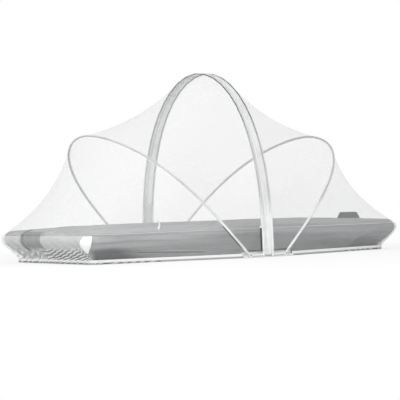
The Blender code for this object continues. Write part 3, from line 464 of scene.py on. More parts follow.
def pushOut(points, clearance):
    distance, way = outsideBy(points)
    height = points[..., 2]
    outwards = -distance - insetAt(np.clip(height, 0.0, mattress["shoulder"])) + clearance
    upwards = crownAt(np.maximum(-distance, 0.0)) - height + clearance
    inside = (outwards > 0.0) & (upwards > 0.0)
    shove = inside & (upwards > outwards)
    move = np.zeros_like(points)
    move[..., :2] = way * np.where(shove, outwards, 0.0)[..., None]
    move[..., 2] = np.where(inside & ~shove, upwards, 0.0)
    return move


def baseColumns(sideAt, cornerAt, endAt):  # x, y, way out in plan, over one half's base
    middle = np.array([baseLength, baseWidth]) - base["corner"]
    start, tangent = np.array([hemStart, hubWidth]), middle + np.array([0.0, base["corner"]])
    front = [(*(start + (tangent - start) * along), 0.0, 1.0) for along in sideAt]
    for turn in cornerAt:
        angle = math.radians(90) * (1.0 - turn)
        way = np.array([math.cos(angle), math.sin(angle)])
        front.append((*(middle + way * base["corner"]), *way))
    front = np.array(front) * np.array([1, -1, 1, -1])
    across = np.array([(baseLength, (2 * share - 1) * middle[1], 1.0, 0.0) for share in endAt])
    return np.concatenate([front, across, front[::-1] * np.array([1, -1, 1, -1])])


def skin(columns, height, clearance):  # hem's line or the mattress, whichever is further out
    spot, way = columns[..., :2], columns[..., 2:4]
    core = np.sign(spot) * (np.array([halfLength, halfWidth]) - mattress["corner"])
    reach = ((core - spot) * way).sum(axis=-1) + mattress["corner"] - insetAt(height) + clearance
    return np.concatenate([spot + way * np.maximum(0.0, reach)[..., None], height[..., None]], axis=-1)


def seamRise(columns):
    tangent = baseLength - base["corner"]
    share = (np.abs(columns[..., 0]) - sewn["tail"]) / (tangent - sewn["tail"])
    return netFoot + (sewn["seam"] - netFoot) * ease(share)


# Meshes.

def newPiece(name, data, *finishes):
    piece = bpy.data.objects.new(name, data)
    scene.collection.objects.link(piece)
    for finish in finishes:
        data.materials.append(finish.material)
    data.polygons.foreach_set("use_smooth", [True] * len(data.polygons))
    return piece


def surface(name, grid, *finishes, wrap=False, flip=False):
    rows, columns = grid.shape[:2]
    turns = columns if wrap else columns - 1
    r, c = np.meshgrid(np.arange(rows - 1), np.arange(turns), indexing="ij")
    r, c = r.ravel(), c.ravel()
    ahead = (c + 1) % columns
    faces = np.stack([r * columns + c, r * columns + ahead, (r + 1) * columns + ahead,
                      (r + 1) * columns + c], axis=1)
    closed = np.concatenate([grid, grid[:, :1]], axis=1) if wrap else grid
    along = np.cumsum([0.0, *np.linalg.norm(np.diff(closed, axis=1), axis=2).mean(axis=0)])
    down = np.cumsum([0.0, *np.linalg.norm(np.diff(grid, axis=0), axis=2).mean(axis=1)])
    marks = np.stack([np.stack([along[c + i], down[r + j]], axis=1)
                      for i, j in ((0, 0), (1, 0), (1, 1), (0, 1))], axis=1)
    if flip:
        faces, marks = faces[:, ::-1], marks[:, ::-1]
    data = bpy.data.meshes.new(name)
    data.from_pydata(grid.reshape(-1, 3).tolist(), [], faces.tolist())
    data.uv_layers.new(name="cut").data.foreach_set("uv", marks.reshape(-1))
    return newPiece(name, data, *finishes)


def tangents(line, closed=False):
    if closed:
        tangent = np.roll(line, -1, axis=0) - np.roll(line, 1, axis=0)
    else:
        tangent = np.gradient(line, axis=0)
    return tangent / np.linalg.norm(tangent, axis=1, keepdims=True)


def mend(piece, reach=1e-6, close=False):  # doubles joined, rims closed, faces turned outwards
    shape = bmesh.new()
    shape.from_mesh(piece.data)
    bmesh.ops.remove_doubles(shape, verts=shape.verts, dist=reach)
    if close:
        bmesh.ops.holes_fill(shape, edges=[edge for edge in shape.edges if edge.is_boundary])
    bmesh.ops.recalc_face_normals(shape, faces=shape.faces)
    shape.to_mesh(piece.data)
    shape.free()
    return piece


def markPoints(piece, name, values):
    mark = piece.data.attributes.new(name, "FLOAT", "POINT")
    mark.data.foreach_set("value", np.clip(values, 0.0, 1.0).reshape(-1).astype(np.float32))


def tube(name, line, radius, finish, about, count=14, closed=False, wobble=0.0, seed=1):
    tangent = tangents(line, closed)
    across = np.cross(tangent, np.array(about, float))
    across /= np.linalg.norm(across, axis=1, keepdims=True)
    other = np.cross(tangent, across)
    angle = np.arange(count) * 2 * math.pi / count
    if closed:
        line, across, other = (np.concatenate([a, a[:1]]) for a in (line, across, other))
    reach = np.full((len(line), count), radius)
    ring = across[:, None] * np.cos(angle)[None, :, None] + other[:, None] * np.sin(angle)[None, :, None]
    if wobble:
        reach = reach * (1.0 + wobble * ripple(line[:, None] + ring * radius * 3, seed, (0.03,) * 3))
    grid = line[:, None] + ring * reach[..., None]
    return mend(surface(name, grid, finish, wrap=True))


def thicken(piece, thickness, offset=0.0):
    shell = piece.modifiers.new("thickness", "SOLIDIFY")
    shell.thickness = thickness
    shell.offset = offset
    return settle(piece)


def settle(piece):  # modifiers become the plain mesh
    bpy.context.view_layer.update()
    view = bpy.context.evaluated_depsgraph_get()
    made = bpy.data.meshes.new_from_object(piece.evaluated_get(view), depsgraph=view)
    old = piece.data
    piece.modifiers.clear()
    piece.data = made
    made.name = piece.name
    bpy.data.meshes.remove(old)
    return piece


def dress(piece, body, slot, *replaced):
    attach(piece, body)
    if replaced:
        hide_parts(*replaced)
    return piece


# Rows of stitches and zip teeth.

stitch = {"pitch": 0.0048, "size": (0.0009, 0.0007, 0.0032), "uneven": 0.12, "seed": 7}


def repeatTree(name, shape, shapeValues):
    tree = bpy.data.node_groups.new(name, "GeometryNodeTree")
    for label, kind in (("Line", "Geometry"), ("Pitch", "Float"), ("Size", "Vector"), ("Uneven", "Float"),
                        ("Seed", "Int"), ("Finish", "Material")):
        tree.interface.new_socket(label, in_out="INPUT", socket_type=f"NodeSocket{kind}")
    tree.interface.new_socket("Row", in_out="OUTPUT", socket_type="NodeSocketGeometry")

    def grow(kind, settings, values):
        made = tree.nodes.new(kind)
        for key, value in settings.items():
            setattr(made, key, value)
        for key, value in values.items():
            if isinstance(value, bpy.types.NodeSocket):
                tree.links.new(value, made.inputs[key])
            else:
                made.inputs[key].default_value = value
        return made.outputs

    given = grow("NodeGroupInput", {}, {})
    curve = grow("GeometryNodeMeshToCurve", {}, {"Mesh": given["Line"]})
    points = grow("GeometryNodeCurveToPoints", {"mode": "LENGTH"},
                  {"Curve": curve[0], "Length": given["Pitch"]})
    way = grow("GeometryNodeInputNamedAttribute", {"data_type": "FLOAT_VECTOR"}, {"Name": "way"})
    along = grow("FunctionNodeAlignRotationToVector", {"axis": "Z"}, {"Vector": points["Tangent"]})
    turned = grow("FunctionNodeAlignRotationToVector", {"axis": "X", "pivot_axis": "Z"},
                  {"Rotation": along[0], "Vector": way[0]})
    low = grow("ShaderNodeMath", {"operation": "SUBTRACT"}, {0: 1.0, 1: given["Uneven"]})
    chance = grow("FunctionNodeRandomValue", {"data_type": "FLOAT"},
                  {"Min": low[0], "Max": 1.0, "Seed": given["Seed"]})
    size = grow("ShaderNodeVectorMath", {"operation": "SCALE"}, {0: given["Size"], "Scale": chance[1]})
    unit = grow(shape, {}, shapeValues)
    row = grow("GeometryNodeInstanceOnPoints", {}, {"Points": points["Points"], "Instance": unit[0],
                                                    "Rotation": turned[0], "Scale": size[0]})
    solid = grow("GeometryNodeRealizeInstances", {}, {"Geometry": row[0]})
    dressed = grow("GeometryNodeSetMaterial", {}, {"Geometry": solid[0], "Material": given["Finish"]})
    grow("NodeGroupOutput", {}, {"Row": dressed[0]})
    return tree


stitchTree = repeatTree("stitchRow", "GeometryNodeMeshUVSphere", {"Segments": 6, "Rings": 4, "Radius": 0.5})
toothTree = repeatTree("toothRow", "GeometryNodeMeshCube", {"Size": (1.0, 1.0, 1.0)})


def repeats(name, tree, lines, ways, look, finish):  # a row's look fills the tree's inputs by name
    data = bpy.data.meshes.new(name)
    starts = np.cumsum([0] + [len(line) for line in lines])
    edges = [(a + i, a + i + 1) for a, line in zip(starts, lines) for i in range(len(line) - 1)]
    data.from_pydata(np.concatenate(lines).tolist(), edges, [])
    mark = data.attributes.new("way", "FLOAT_VECTOR", "POINT")
    mark.data.foreach_set("vector", np.concatenate(ways).astype(np.float32).reshape(-1))
    piece = newPiece(name, data)
    step = piece.modifiers.new("row", "NODES")
    step.node_group = tree
    values = {**{key.title(): value for key, value in look.items()}, "Finish": finish.material}
    for socket in tree.interface.items_tree:
        if socket.in_out == "INPUT" and socket.name in values:
            step[socket.identifier] = values[socket.name]
    return settle(piece)


def stitches(name, lines, ways, body):
    return dress(repeats(name, stitchTree, lines, ways, stitch, threadCloth), body, "white_cloth")


# Mattress and its piping.

ruck = {"side": 0.0016, "top": 0.0014, "pinch": 0.0012, "seam": 0.006, "columns": (150, 70, 14),
        "levels": (22, 22, 30), "long": (0.34, 0.34, 0.030), "short": (0.12, 0.12, 0.020)}


def ringColumns(inset, columns):  # one ring round the mattress in plan, corners first
    corner = min(max(mattress["corner"] - inset, mattress["leastCorner"]), halfWidth - inset)
    core = np.array([halfLength, halfWidth]) - inset - corner
    corners = core * np.array([(1, 1), (-1, 1), (-1, -1), (1, -1)])
    longSide, shortSide, cornerSteps = columns
    points = []
    for quarter in range(4):
        turn = math.radians(90) * (quarter + np.linspace(0.0, 1.0, cornerSteps + 1))
        arc = corners[quarter] + corner * np.stack([np.cos(turn), np.sin(turn)], axis=1)
        share = np.linspace(0.0, 1.0, shortSide if quarter % 2 else longSide, endpoint=False)[:, None]
        points += [arc[:-1], arc[-1] + (corners[(quarter + 1) % 4] - corners[quarter]) * share]
    return np.concatenate(points)


def coverLevels():
    low = base["sheet"] + base["gap"]
    widest, rim = mattress["widest"], mattress["shoulderInset"]
    rise = mattress["shoulder"] - widest
    below, shoulder, crown = ruck["levels"]
    levels = [(float(insetBelow(z)), z) for z in np.linspace(low, widest, below)]
    levels += [(rim * (1 - math.cos(turn)), widest + rise * math.sin(turn))
               for turn in np.linspace(0.0, math.pi / 2, shoulder)[1:]]
    levels += [(inset, float(crownAt(inset))) for inset in np.linspace(rim, halfWidth, crown)[1:]]
    return levels


def makeMattress():
    rings = [(ringColumns(inset, ruck["columns"]), z) for inset, z in coverLevels()]
    grid = np.array([np.c_[ring, np.full(len(ring), z)] for ring, z in rings])
    way = outsideBy(grid)[1]
    height = grid[..., 2]
    seam = np.exp(-((height - mattress["piping"]) / ruck["seam"]) ** 2)
    onSide = ease((mattress["shoulder"] + 0.004 - height) / 0.02) * ease(height / 0.03)
    creases = ripple(grid, 5, ruck["long"]) * ripple(grid, 8, (0.5, 0.5, 0.08))
    creases += 0.6 * ripple(grid, 11, ruck["short"]) * ripple(grid, 12, (0.22, 0.22, 0.2))
    push = (creases * ruck["side"] - 0.0004) * onSide * (1 - seam) - seam * ruck["pinch"]
    grid[..., :2] += way * push[..., None]
    onTop = ease((height - mattress["shoulder"]) / 0.005)
    grid[..., 2] += onTop * ruck["top"] * (ripple(grid, 21, (0.30, 0.13, 1.0)) - 0.6)
    grid[..., 2] = np.minimum(grid[..., 2], mattress["crown"])
    piece = mend(surface("mattressCover", grid, heatherKnit, wrap=True, flip=True), 2e-5, close=True)
    return dress(piece, "base", "mattress_cloth", "mattress")


def makePiping():
    inset = float(insetAbove(mattress["piping"]))
    rise = (mattress["piping"] - mattress["widest"]) / (mattress["shoulder"] - mattress["widest"])
    slope = np.array([math.sqrt(1 - rise ** 2) / mattress["shoulderInset"],
                      rise / (mattress["shoulder"] - mattress["widest"])])
    out = slope / np.linalg.norm(slope) * (mattress["pipingRadius"] + base["gap"])
    plan = ringColumns(inset - out[0], (300, 150, 20))
    line = np.c_[plan, np.full(len(plan), mattress["piping"] + out[1])]
    piece = tube("mattressPiping", line, mattress["pipingRadius"], whiteCloth, (0, 0, 1), 8, True, 0.06)
    return dress(piece, "base", "white_cloth", "mattress_piping")


makeMattress()
makePiping()
print("mattress made")


# Net panels, from hoop to hoop and from the end hoops to the hem.

film = {"rows": 20, "columns": 112, "roofPull": 0.8, "endPull": 0.78, "steps": 900, "tape": 0.004,
        "tapeShare": 0.2}


def sewnEdge(hoop, towards):
    tangent = tangents(hoop)
    way = towards - hoop
    way -= tangent * (way * tangent).sum(axis=1, keepdims=True)
    return hoop + way / np.linalg.norm(way, axis=1, keepdims=True) * sewn["reach"]


def stretched(top, bottom, pull):  # the film between two edges, kept off the mattress
    share = np.linspace(0.0, 1.0, film["rows"] + 1)[:, None, None]
    grid = top[None] + (bottom - top)[None] * share
    for step in range(film["steps"]):
        across = grid[:-2, 1:-1] + grid[2:, 1:-1]
        along = grid[1:-1, :-2] + grid[1:-1, 2:]
        grid[1:-1, 1:-1] = (pull * across + along) / (2.0 * (pull + 1.0))
        grid[1:-1, 1:-1] += pushOut(grid[1:-1, 1:-1], sewn["drapeClear"])
    return grid


def taped(grid):  # rows set again so that a tape's width lies along both edges
    made, shares = [], []
    for line in grid.transpose(1, 0, 2):
        length = arcs(line)
        full = length[-1]
        width = min(film["tape"], full * film["tapeShare"])
        wanted = np.array([0.0, *np.linspace(width, full - width, film["rows"] + 1), full])
        made.append(np.stack([np.interp(wanted, length, line[:, k]) for k in range(3)], axis=1))
        shares.append(wanted / full)
    return np.stack(made, axis=1), np.stack(shares, axis=1)


def makeNet(name, grid, body, replaced, flip):
    made, shares = taped(grid)
    piece = surface(name, made, net, seamCloth, legSeamShadow, footCloth, flip=flip)
    index = np.zeros((made.shape[0] - 1, made.shape[1] - 1), int)
    index[0], index[-1] = (2, 3) if body == "base" else (1, 1)
    piece.data.polygons.foreach_set("material_index", index.reshape(-1))
    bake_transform(piece)
    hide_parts(replaced)
    return piece


for label, side in sides.items():
    upper, lower = centreLine(side, film["columns"]), endLine(side, film["columns"])
    roof = stretched(sewnEdge(upper, lower), sewnEdge(lower, upper), film["roofPull"])
    makeNet(f"netRoof{label.title()}", roof, f"end_{label}",
            f"net_roof_{label}",
            flip=side < 0)
    sideAt = np.sin(np.linspace(0, math.pi / 2, 32, endpoint=False))
    edge = baseColumns(sideAt, np.linspace(0, 1, 17), np.linspace(0, 1, 17)[1:-1])
    foot = skin(edge, seamRise(edge), sewn["seamClear"])
    foot[:, 0] *= side
    panel = stretched(sewnEdge(lower, foot), foot, film["endPull"])
    makeNet(f"netEnd{label.title()}", panel, "base",
            f"net_end_{label}",
            flip=side < 0)
print("nets made")


# Hoop sleeves, centre bands and the zip.

sleeving = {"endSteps": 420, "centreSteps": 480, "wobble": 0.035}
band = {"zip": -0.0100, "chainWidth": 0.0024, "chainGap": 0.0016, "thickness": 0.0010, "bulge": 0.0003,
        "rows": 9, "steps": 480, "hem": 0.0022, "ease": 0.0004, "stitchesFrom": 0.016}
teeth = {"pitch": 0.0030, "size": (0.0030, 0.0013, 0.0013), "uneven": 0.0, "seed": 1, "mesh": 0.0006}


def makeSleeves(label, side):
    reach, wobble = sewn["sleeve"], sleeving["wobble"]
    line = endLine(side, sleeving["endSteps"])
    about = (math.cos(end["tilt"]), 0, -side * math.sin(end["tilt"]))
    sleeve = tube(f"endSleeve{label.title()}", line, reach, endSleeveCloth, about,
                  wobble=wobble, seed=31 + side)
    dress(sleeve, f"end_{label}", "white_cloth", f"end_sleeve_{label}")
    line = centreLine(side, sleeving["centreSteps"])
    sleeve = tube(f"centreSleeve{label.title()}", line, reach, centreSleeveCloth, (1, 0, 0),
                  wobble=wobble, seed=41 + side)
    dress(sleeve, f"centre_{label}", "white_cloth", f"centre_sleeve_{label}")


def archSkin(x, lift, start=None, steps=600):  # a line over the arch at one x, and the way out of it
    line = centreLine(1, steps, centre["bandStart"] if start is None else start)
    tangent = tangents(line)
    out = np.stack([0 * tangent[:, 0], -tangent[:, 2], tangent[:, 1]], axis=1)
    line = line + out * lift
    line[:, 0] = x
    return line, out


def bandEdge(side, hem=0.0):  # a band's edge beside the zip, and the one beside the hoop
    inner = band["zip"] + side * (band["chainGap"] / 2 + band["chainWidth"] + (hem or base["gap"]))
    return inner, side * (centre["offset"] - sewn["sleeve"] - (hem or band["ease"]))


def makeBand(label, side):
    inner, outer = bandEdge(side)
    grid = np.array([archSkin(inner + (outer - inner) * share, -math.sin(math.pi * share) * band["bulge"],
                              steps=band["steps"])[0] for share in np.linspace(0.0, 1.0, band["rows"])])
    piece = thicken(surface(f"centreBand{label.title()}", grid, bandCloth, flip=side > 0), band["thickness"])
    return dress(piece, f"centre_{label}", "white_cloth", f"centre_band_{label}")


def makeTeeth(label, side):  # the two rows mesh, half a pitch apart
    start = centre["sleeveStart"] + (teeth["pitch"] / 2 if side > 0 else 0.0)
    line = archSkin(band["zip"] + side * (teeth["size"][0] / 2 - teeth["mesh"]), 0.0, start)[0]
    ways = np.broadcast_to(np.array([1.0, 0.0, 0.0]), line.shape)
    row = repeats(f"zipTeeth{label.title()}", toothTree, [line], [ways], teeth, zipPlastic)
    return dress(row, f"centre_{label}", "zip_plastic")


def sewHoops(label, side):
    lift = band["thickness"] / 2 + 0.0002
    lines, ways = zip(*(archSkin(x, lift, band["stitchesFrom"]) for x in bandEdge(side, band["hem"])))
    stitches(f"bandStitches{label.title()}", lines, ways, f"centre_{label}")
    line = endLine(side, 600)[4:-4]
    out = np.cross(tangents(line), (side * math.cos(end["tilt"]), 0, -math.sin(end["tilt"])))
    out *= np.sign((out * (line - (side * 0.3, 0, 0.1))).sum(axis=1, keepdims=True))
    stitches(f"sleeveStitches{label.title()}", [line + out * (sewn["sleeve"] * 1.02)], [out], f"end_{label}")


for label, side in sides.items():
    makeSleeves(label, side)
for label, side in sides.items():
    makeBand(label, side)
    makeTeeth(label, side)
    sewHoops(label, side)
print("hoops dressed")


# Skirts, hems, corner patch and floor sheet.

pleat = {"count": 20, "depth": 0.0120, "lean": 1.1, "fine": 29, "fineDepth": 0.0080, "fineLean": 9.4,
         "upright": 3.8, "begins": 0.42, "full": 0.70, "steps": 40, "rows": 84, "least": 0.0030,
         "columns": (700, 160, 500), "cornerTurn": 1.4, "leanFrom": 0.10, "leanOver": 0.14, "jitter": 0.6,
         "onSides": 0.12, "backLess": 0.45, "backFrom": -0.02, "backOver": 0.12, "fade": 0.3, "anchor": 0.8}
flap = {"width": 0.220, "cover": 0.125, "thickness": 0.0015, "inset": 0.065, "low": 0.048, "shift": 0.100,
        "ridge": 0.014, "crest": 0.006, "ease": 0.0006, "roll": 0.0045, "rollPlace": 0.94,
        "rollWidth": 0.035, "folds": 6.5, "foldDepth": 0.0020, "taper": 0.03, "rows": 90, "columns": 70}
patch = {"turn": math.radians(34), "lean": math.radians(18), "half": 0.022, "low": 0.054, "high": 0.134,
         "foot": 0.005, "head": 0.014, "margin": 0.006, "ramp": 0.030, "ease": 0.0010,
         "thickness": 0.0012, "rows": 33, "columns": 17}
patchRadius = mattress["corner"] + sewn["seamClear"]
hem = {"count": 20, "roundness": (0.55, 0.45), "wander": 0.0003, "pucker": 0.0009, "lift": 0.0022,
       "stitchDrop": 0.0045}


def columnsOf(straight, corner, across):  # counts along the front, round the corner and over the end
    return baseColumns(np.linspace(0, 1, straight, endpoint=False), np.linspace(0, 1, corner),
                       np.linspace(0, 1, across)[1:-1])


def patchShare(columns, side):  # the patch holds the pleats flat behind it
    turn = np.arctan2(-columns[:, 3], columns[:, 2])
    away = np.abs(turn - patch["turn"]) * patchRadius - patch["half"] - patch["margin"]
    onEnd = np.maximum(0.0, halfWidth - mattress["corner"] - np.abs(columns[:, 1]))
    away += np.where(turn == 0.0, onEnd, 0.0)
    free = (side > 0) | (columns[:, 1] > 0.0)
    return np.where(free, 1.0, np.clip(away / patch["ramp"], 0.0, 1.0))


def foldAt(turns):
    return (np.cos(2 * math.pi * turns) + 0.2 * np.cos(4 * math.pi * turns + 0.6)) / 1.15


def skirtGrid(side):
    fine = columnsOf(*pleat["columns"])
    fine = fine[fine[:, 0] >= sewn["tail"]]
    skins = skin(fine, np.full(len(fine), mattress["widest"]), 0.0)
    length = arcs(skins[:, :2])
    wanted = np.linspace(0.0, length[-1], pleat["count"] * pleat["steps"] + 1)
    picked = fine[np.abs(length - wanted[:, None]).argmin(axis=1)]
    place = np.linspace(0.0, 1.0, len(picked))
    fall = np.linspace(0.0, 1.0, pleat["rows"] + 1)[:, None]

    x, y = picked[:, 0], picked[:, 1]
    atEnd = 1.0 - ease(np.arctan2(np.abs(picked[:, 3]), np.abs(picked[:, 2])) / pleat["cornerTurn"])
    lean = (pleat["leanFrom"] - y) / pleat["leanOver"]
    lean = pleat["upright"] + (pleat["fineLean"] - pleat["upright"]) * ease(lean)
    slack = np.interp(wanted, length, ripple(skins, 91, (0.12, 0.12, 1.0)) * pleat["jitter"])
    turns = place * pleat["fine"] + slack
    held = np.sin(math.pi * place) ** pleat["fade"] * patchShare(picked, side)
    strength = held * (pleat["onSides"] + (1.0 - pleat["onSides"]) * atEnd)
    strength *= 1.0 - pleat["backLess"] * ease((y - pleat["backFrom"]) / pleat["backOver"])
    gathers = np.stack([side * x, y, turns, lean, strength], axis=1)

    top = seamRise(picked) - sewn["netHalf"] - sewn["skirtGap"]
    height = np.maximum(top + (netFoot - top) * fall, netFoot)
    coarse = np.cos(2 * math.pi * (place * pleat["count"] + pleat["lean"] * fall)) * fall * held
    risen = ease((fall - pleat["begins"]) / (pleat["full"] - pleat["begins"])) * strength
    fold = foldAt(turns - lean * (fall - pleat["anchor"])) * risen
    grid = skin(np.broadcast_to(picked, (len(fall), *picked.shape)), height, sewn["seamClear"])
    grid[..., :2] += picked[:, 2:4] * ((pleat["fineDepth"] * fold - pleat["depth"] * coarse) / 2)[..., None]
    overFlap = ease((flap["cover"] - np.abs(y - flap["shift"])) / 0.03) * (side < 0)
    dense = atEnd * (1.0 - 0.6 * overFlap * ease((0.75 - fall) / 0.2))

    keep = np.flatnonzero(grid[0, :, 2] - grid[-1, 0, 2] > pleat["least"])
    keep = slice(keep[0], keep[-1] + 1)
    grid[-1, :, 2] = hemTop
    marks = {"fold": (0.5 + 0.5 * fold)[:, keep], "dense": dense[:, keep]}
    return grid[:, keep] * np.array([side, 1, 1]), marks, gathers


def hemLine(side, height, corner=24, straight=60, across=260):
    columns = columnsOf(straight, corner, across)
    return np.stack([side * columns[:, 0], columns[:, 1], np.full(len(columns), height)], axis=1)


def outOf(line, side):  # the level way out of a hem's line
    tangent = tangents(line)
    return np.stack([tangent[:, 1], -tangent[:, 0], 0 * tangent[:, 0]], axis=1) * side


def makeHem(label, side, gathers):
    line = hemLine(side, base["sheet"] + base["gap"] + base["hemHeight"] / 2, 60, 90)
    out = outOf(line, side)
    halfThick, halfHigh = base["hemThickness"] / 2, base["hemHeight"] / 2
    angle = np.arange(hem["count"]) * 2 * math.pi / hem["count"]
    shape = np.stack([np.sign(wave) * np.abs(wave) ** power * half for wave, power, half in zip(
        (np.cos(angle), np.sin(angle)), hem["roundness"], (halfThick, halfHigh))], axis=1)
    near = np.linalg.norm(line[:, None, :2] - gathers[None, :, :2], axis=2).argmin(axis=1)
    turns, lean, strength = (gathers[near, k][:, None] for k in (2, 3, 4))
    fold = foldAt(turns - lean * (0.2 + (halfHigh - shape[None, :, 1]) / 0.115)) * strength
    lower = ease(-shape[None, :, 1] / halfHigh)
    grid = line[:, None] + out[:, None] * shape[None, :, :1] + np.array([0, 0, 1.0]) * shape[None, :, 1:]
    slack = ripple(grid, 61, (0.06, 0.06, 0.03)) * hem["wander"] + fold * hem["pucker"]
    grid += out[:, None] * slack[..., None]
    grid[..., 2] += lower * (0.5 - 0.5 * fold) * strength * hem["lift"]
    piece = surface(f"hem{label.title()}", grid, hemCloth, wrap=True)
    markPoints(piece, "fold", 0.5 + 0.5 * fold)
    mend(piece, close=True)
    return dress(piece, "base", "white_cloth", f"hem_{label}")


# a white patch at the front-left corner, standing in for a highlight on the skirt there: painted highlight
def makePatch():
    outwards = (2 * sewn["netHalf"] + patch["thickness"]) / 2 + 0.0004 + patch["ease"]
    middle = (np.array([baseLength, baseWidth]) - base["corner"]) * np.array([1.0, -1.0])
    share, across = np.meshgrid(np.linspace(0, 1, patch["rows"]), np.linspace(-1, 1, patch["columns"]),
                                indexing="ij")
    tip = patch["foot"] + (patch["head"] - patch["foot"]) * share
    half = tip + (patch["half"] - tip) * np.sin(math.pi * share) ** 0.8
    turn = patch["turn"] + patch["lean"] * (share - 0.5) + half * across / patchRadius
    way = np.stack([np.cos(turn), -np.sin(turn)], axis=-1)
    column = np.concatenate([middle + way * base["corner"], way], axis=-1)
    grid = skin(column, patch["low"] + (patch["high"] - patch["low"]) * share, sewn["seamClear"] + outwards)
    piece = thicken(surface("cornerHighlightPatch", grid * np.array([-1, 1, 1]), tapeCloth), patch["thickness"])
    return dress(piece, "base", "white_cloth", "corner_patch")


def makeFloorSheet():
    columns = columnsOf(40, 12, 20)
    half = columns[:, :2] + columns[:, 2:4] * base["hemThickness"] / 2
    outline = np.concatenate([half, -half])
    grid = np.stack([np.c_[outline, np.full(len(outline), z)] for z in (0.0, base["sheet"])])
    piece = mend(surface("floorSheet", grid, whiteCloth, wrap=True), close=True)
    data = piece.data
    spots = [data.vertices[loop.vertex_index].co[:2] for loop in data.loops]
    data.uv_layers["cut"].data.foreach_set("uv", np.array(spots).reshape(-1))
    data.polygons.foreach_set("use_smooth", [False] * len(data.polygons))
    return dress(piece, "base", "white_cloth", "floor_sheet")


for label, side in sides.items():
    grid, marks, gathers = skirtGrid(side)
    skirt = surface(f"skirt{label.title()}", grid, skirtCloth, flip=side < 0)
    for name, mark in marks.items():
        markPoints(skirt, name, mark)
    dress(skirt, "base", "white_cloth", f"skirt_{label}")
    makeHem(label, side, gathers)
for label, side in sides.items():
    line = hemLine(side, hemTop - hem["stitchDrop"])
    out = outOf(line, side)
    stitches(f"hemStitches{label.title()}", [line + out * (base["hemThickness"] / 2 + 0.0001)], [out], "base")
makePatch()
makeFloorSheet()
print("skirts and hems made")


# Handle, flap, tape, tab, strap and hub guards.

handle = {"base": 0.190, "top": 0.135, "rise": 0.036, "thickness": 0.012, "inset": 0.094, "shift": 0.150,
          "edge": 0.006, "welt": 0.16, "weltWidth": 0.0016, "rows": 17, "columns": 49}
tape = {"along": -0.553, "inset": 0.025, "rise": 0.042, "width": 0.014, "thickness": 0.0012, "bow": 0.008,
        "rows": 41, "columns": 5}
tab = {"rows": 9, "columns": 13, "bow": 0.0001}
strap = {"thickness": 0.0012, "rows": 41, "columns": 7}
guard = {"thickness": 0.0012, "sway": 0.0012, "rows": 13, "columns": 121}


def makeHandle():
    foot = float(crownAt(handle["inset"] + handle["thickness"])) + base["gap"]
    middle = halfLength - handle["inset"] - handle["thickness"] / 2
    u, v = np.meshgrid(np.linspace(-1, 1, handle["columns"]), np.linspace(0, 1, handle["rows"]))
    half = handle["base"] / 2 + (handle["top"] - handle["base"]) / 2 * v
    edge = np.minimum((1 - np.abs(u)) * half, np.minimum(v, 1 - v) * handle["rise"])
    welt = handle["welt"] * np.exp(-((edge - handle["edge"]) / handle["weltWidth"]) ** 2)
    puff = handle["thickness"] / 2 * np.sqrt(1 - (1 - np.clip(edge / handle["edge"], 0, 1)) ** 2) * (1 - welt)
    grid = np.stack([middle + 0 * u, -handle["shift"] + u * half, foot + v * handle["rise"]], axis=2)
    reach = np.stack([puff, 0 * puff, 0 * puff], axis=2)
    both = np.concatenate([grid - reach, (grid + reach)[:, ::-1]], axis=1)
    piece = mend(surface("carryHandleRight", both, handleCloth, wrap=True))
    return dress(piece, "base", "handle_cloth", "carry_handle_right")


def endProfile(inset, low, rows):
    rim, shoulder, widest = mattress["shoulderInset"], mattress["shoulder"], mattress["widest"]
    curve = [(at, float(crownAt(at))) for at in np.linspace(inset, rim, 20)]
    curve += [(float(insetAbove(z)), z) for z in np.linspace(shoulder, widest, 60)[1:]]
    curve += [(float(insetBelow(z)), z) for z in np.linspace(widest, low, 30)[1:]]
    return evenPoints(np.array(curve), 0.0, rows)


def makeFlap():
    rows, columns = flap["rows"], flap["columns"]
    profile = endProfile(flap["inset"], flap["low"], rows)
    tangent = tangents(profile)
    step = np.linalg.norm(profile[1] - profile[0])
    fromPiping = np.abs(np.arange(rows + 1) - np.abs(profile[:, 1] - mattress["piping"]).argmin())
    raised = np.clip((flap["ridge"] - fromPiping * step) / (flap["ridge"] - flap["crest"]), 0, 1)
    off = flap["ease"] + flap["thickness"] / 2 + (2 * mattress["pipingRadius"] + base["gap"]) * raised
    share = np.linspace(0.0, 1.0, columns + 1)
    fall = np.linspace(0.0, 1.0, rows + 1)[:, None]
    folds = np.cos(2 * math.pi * (share * flap["folds"] + 0.25 * fall + 0.15 * np.sin(share * 9)))
    off = off[:, None] + flap["foldDepth"] * (0.5 + 0.5 * folds) * ease((fall - 0.35) / 0.65)
    roll = flap["roll"] * np.exp(-((share - flap["rollPlace"]) / flap["rollWidth"]) ** 2)
    off = off + roll * (0.6 + 0.4 * np.sin(fall * 19.0))
    grid = np.zeros((rows + 1, columns + 1, 3))
    grid[..., 0] = -halfLength + profile[:, :1] + tangent[:, 1:] * off
    narrow = 1.0 - flap["taper"] * ease((fall - 0.4) / 0.6)
    grid[..., 1] = flap["shift"] + flap["width"] * (share - 0.5)[None] * narrow
    grid[..., 2] = profile[:, 1:] - tangent[:, :1] * off
    piece = thicken(surface("carryFlapLeft", grid, flapCloth, flip=True), flap["thickness"])
    return dress(piece, "base", "handle_cloth", "carry_handle_left")


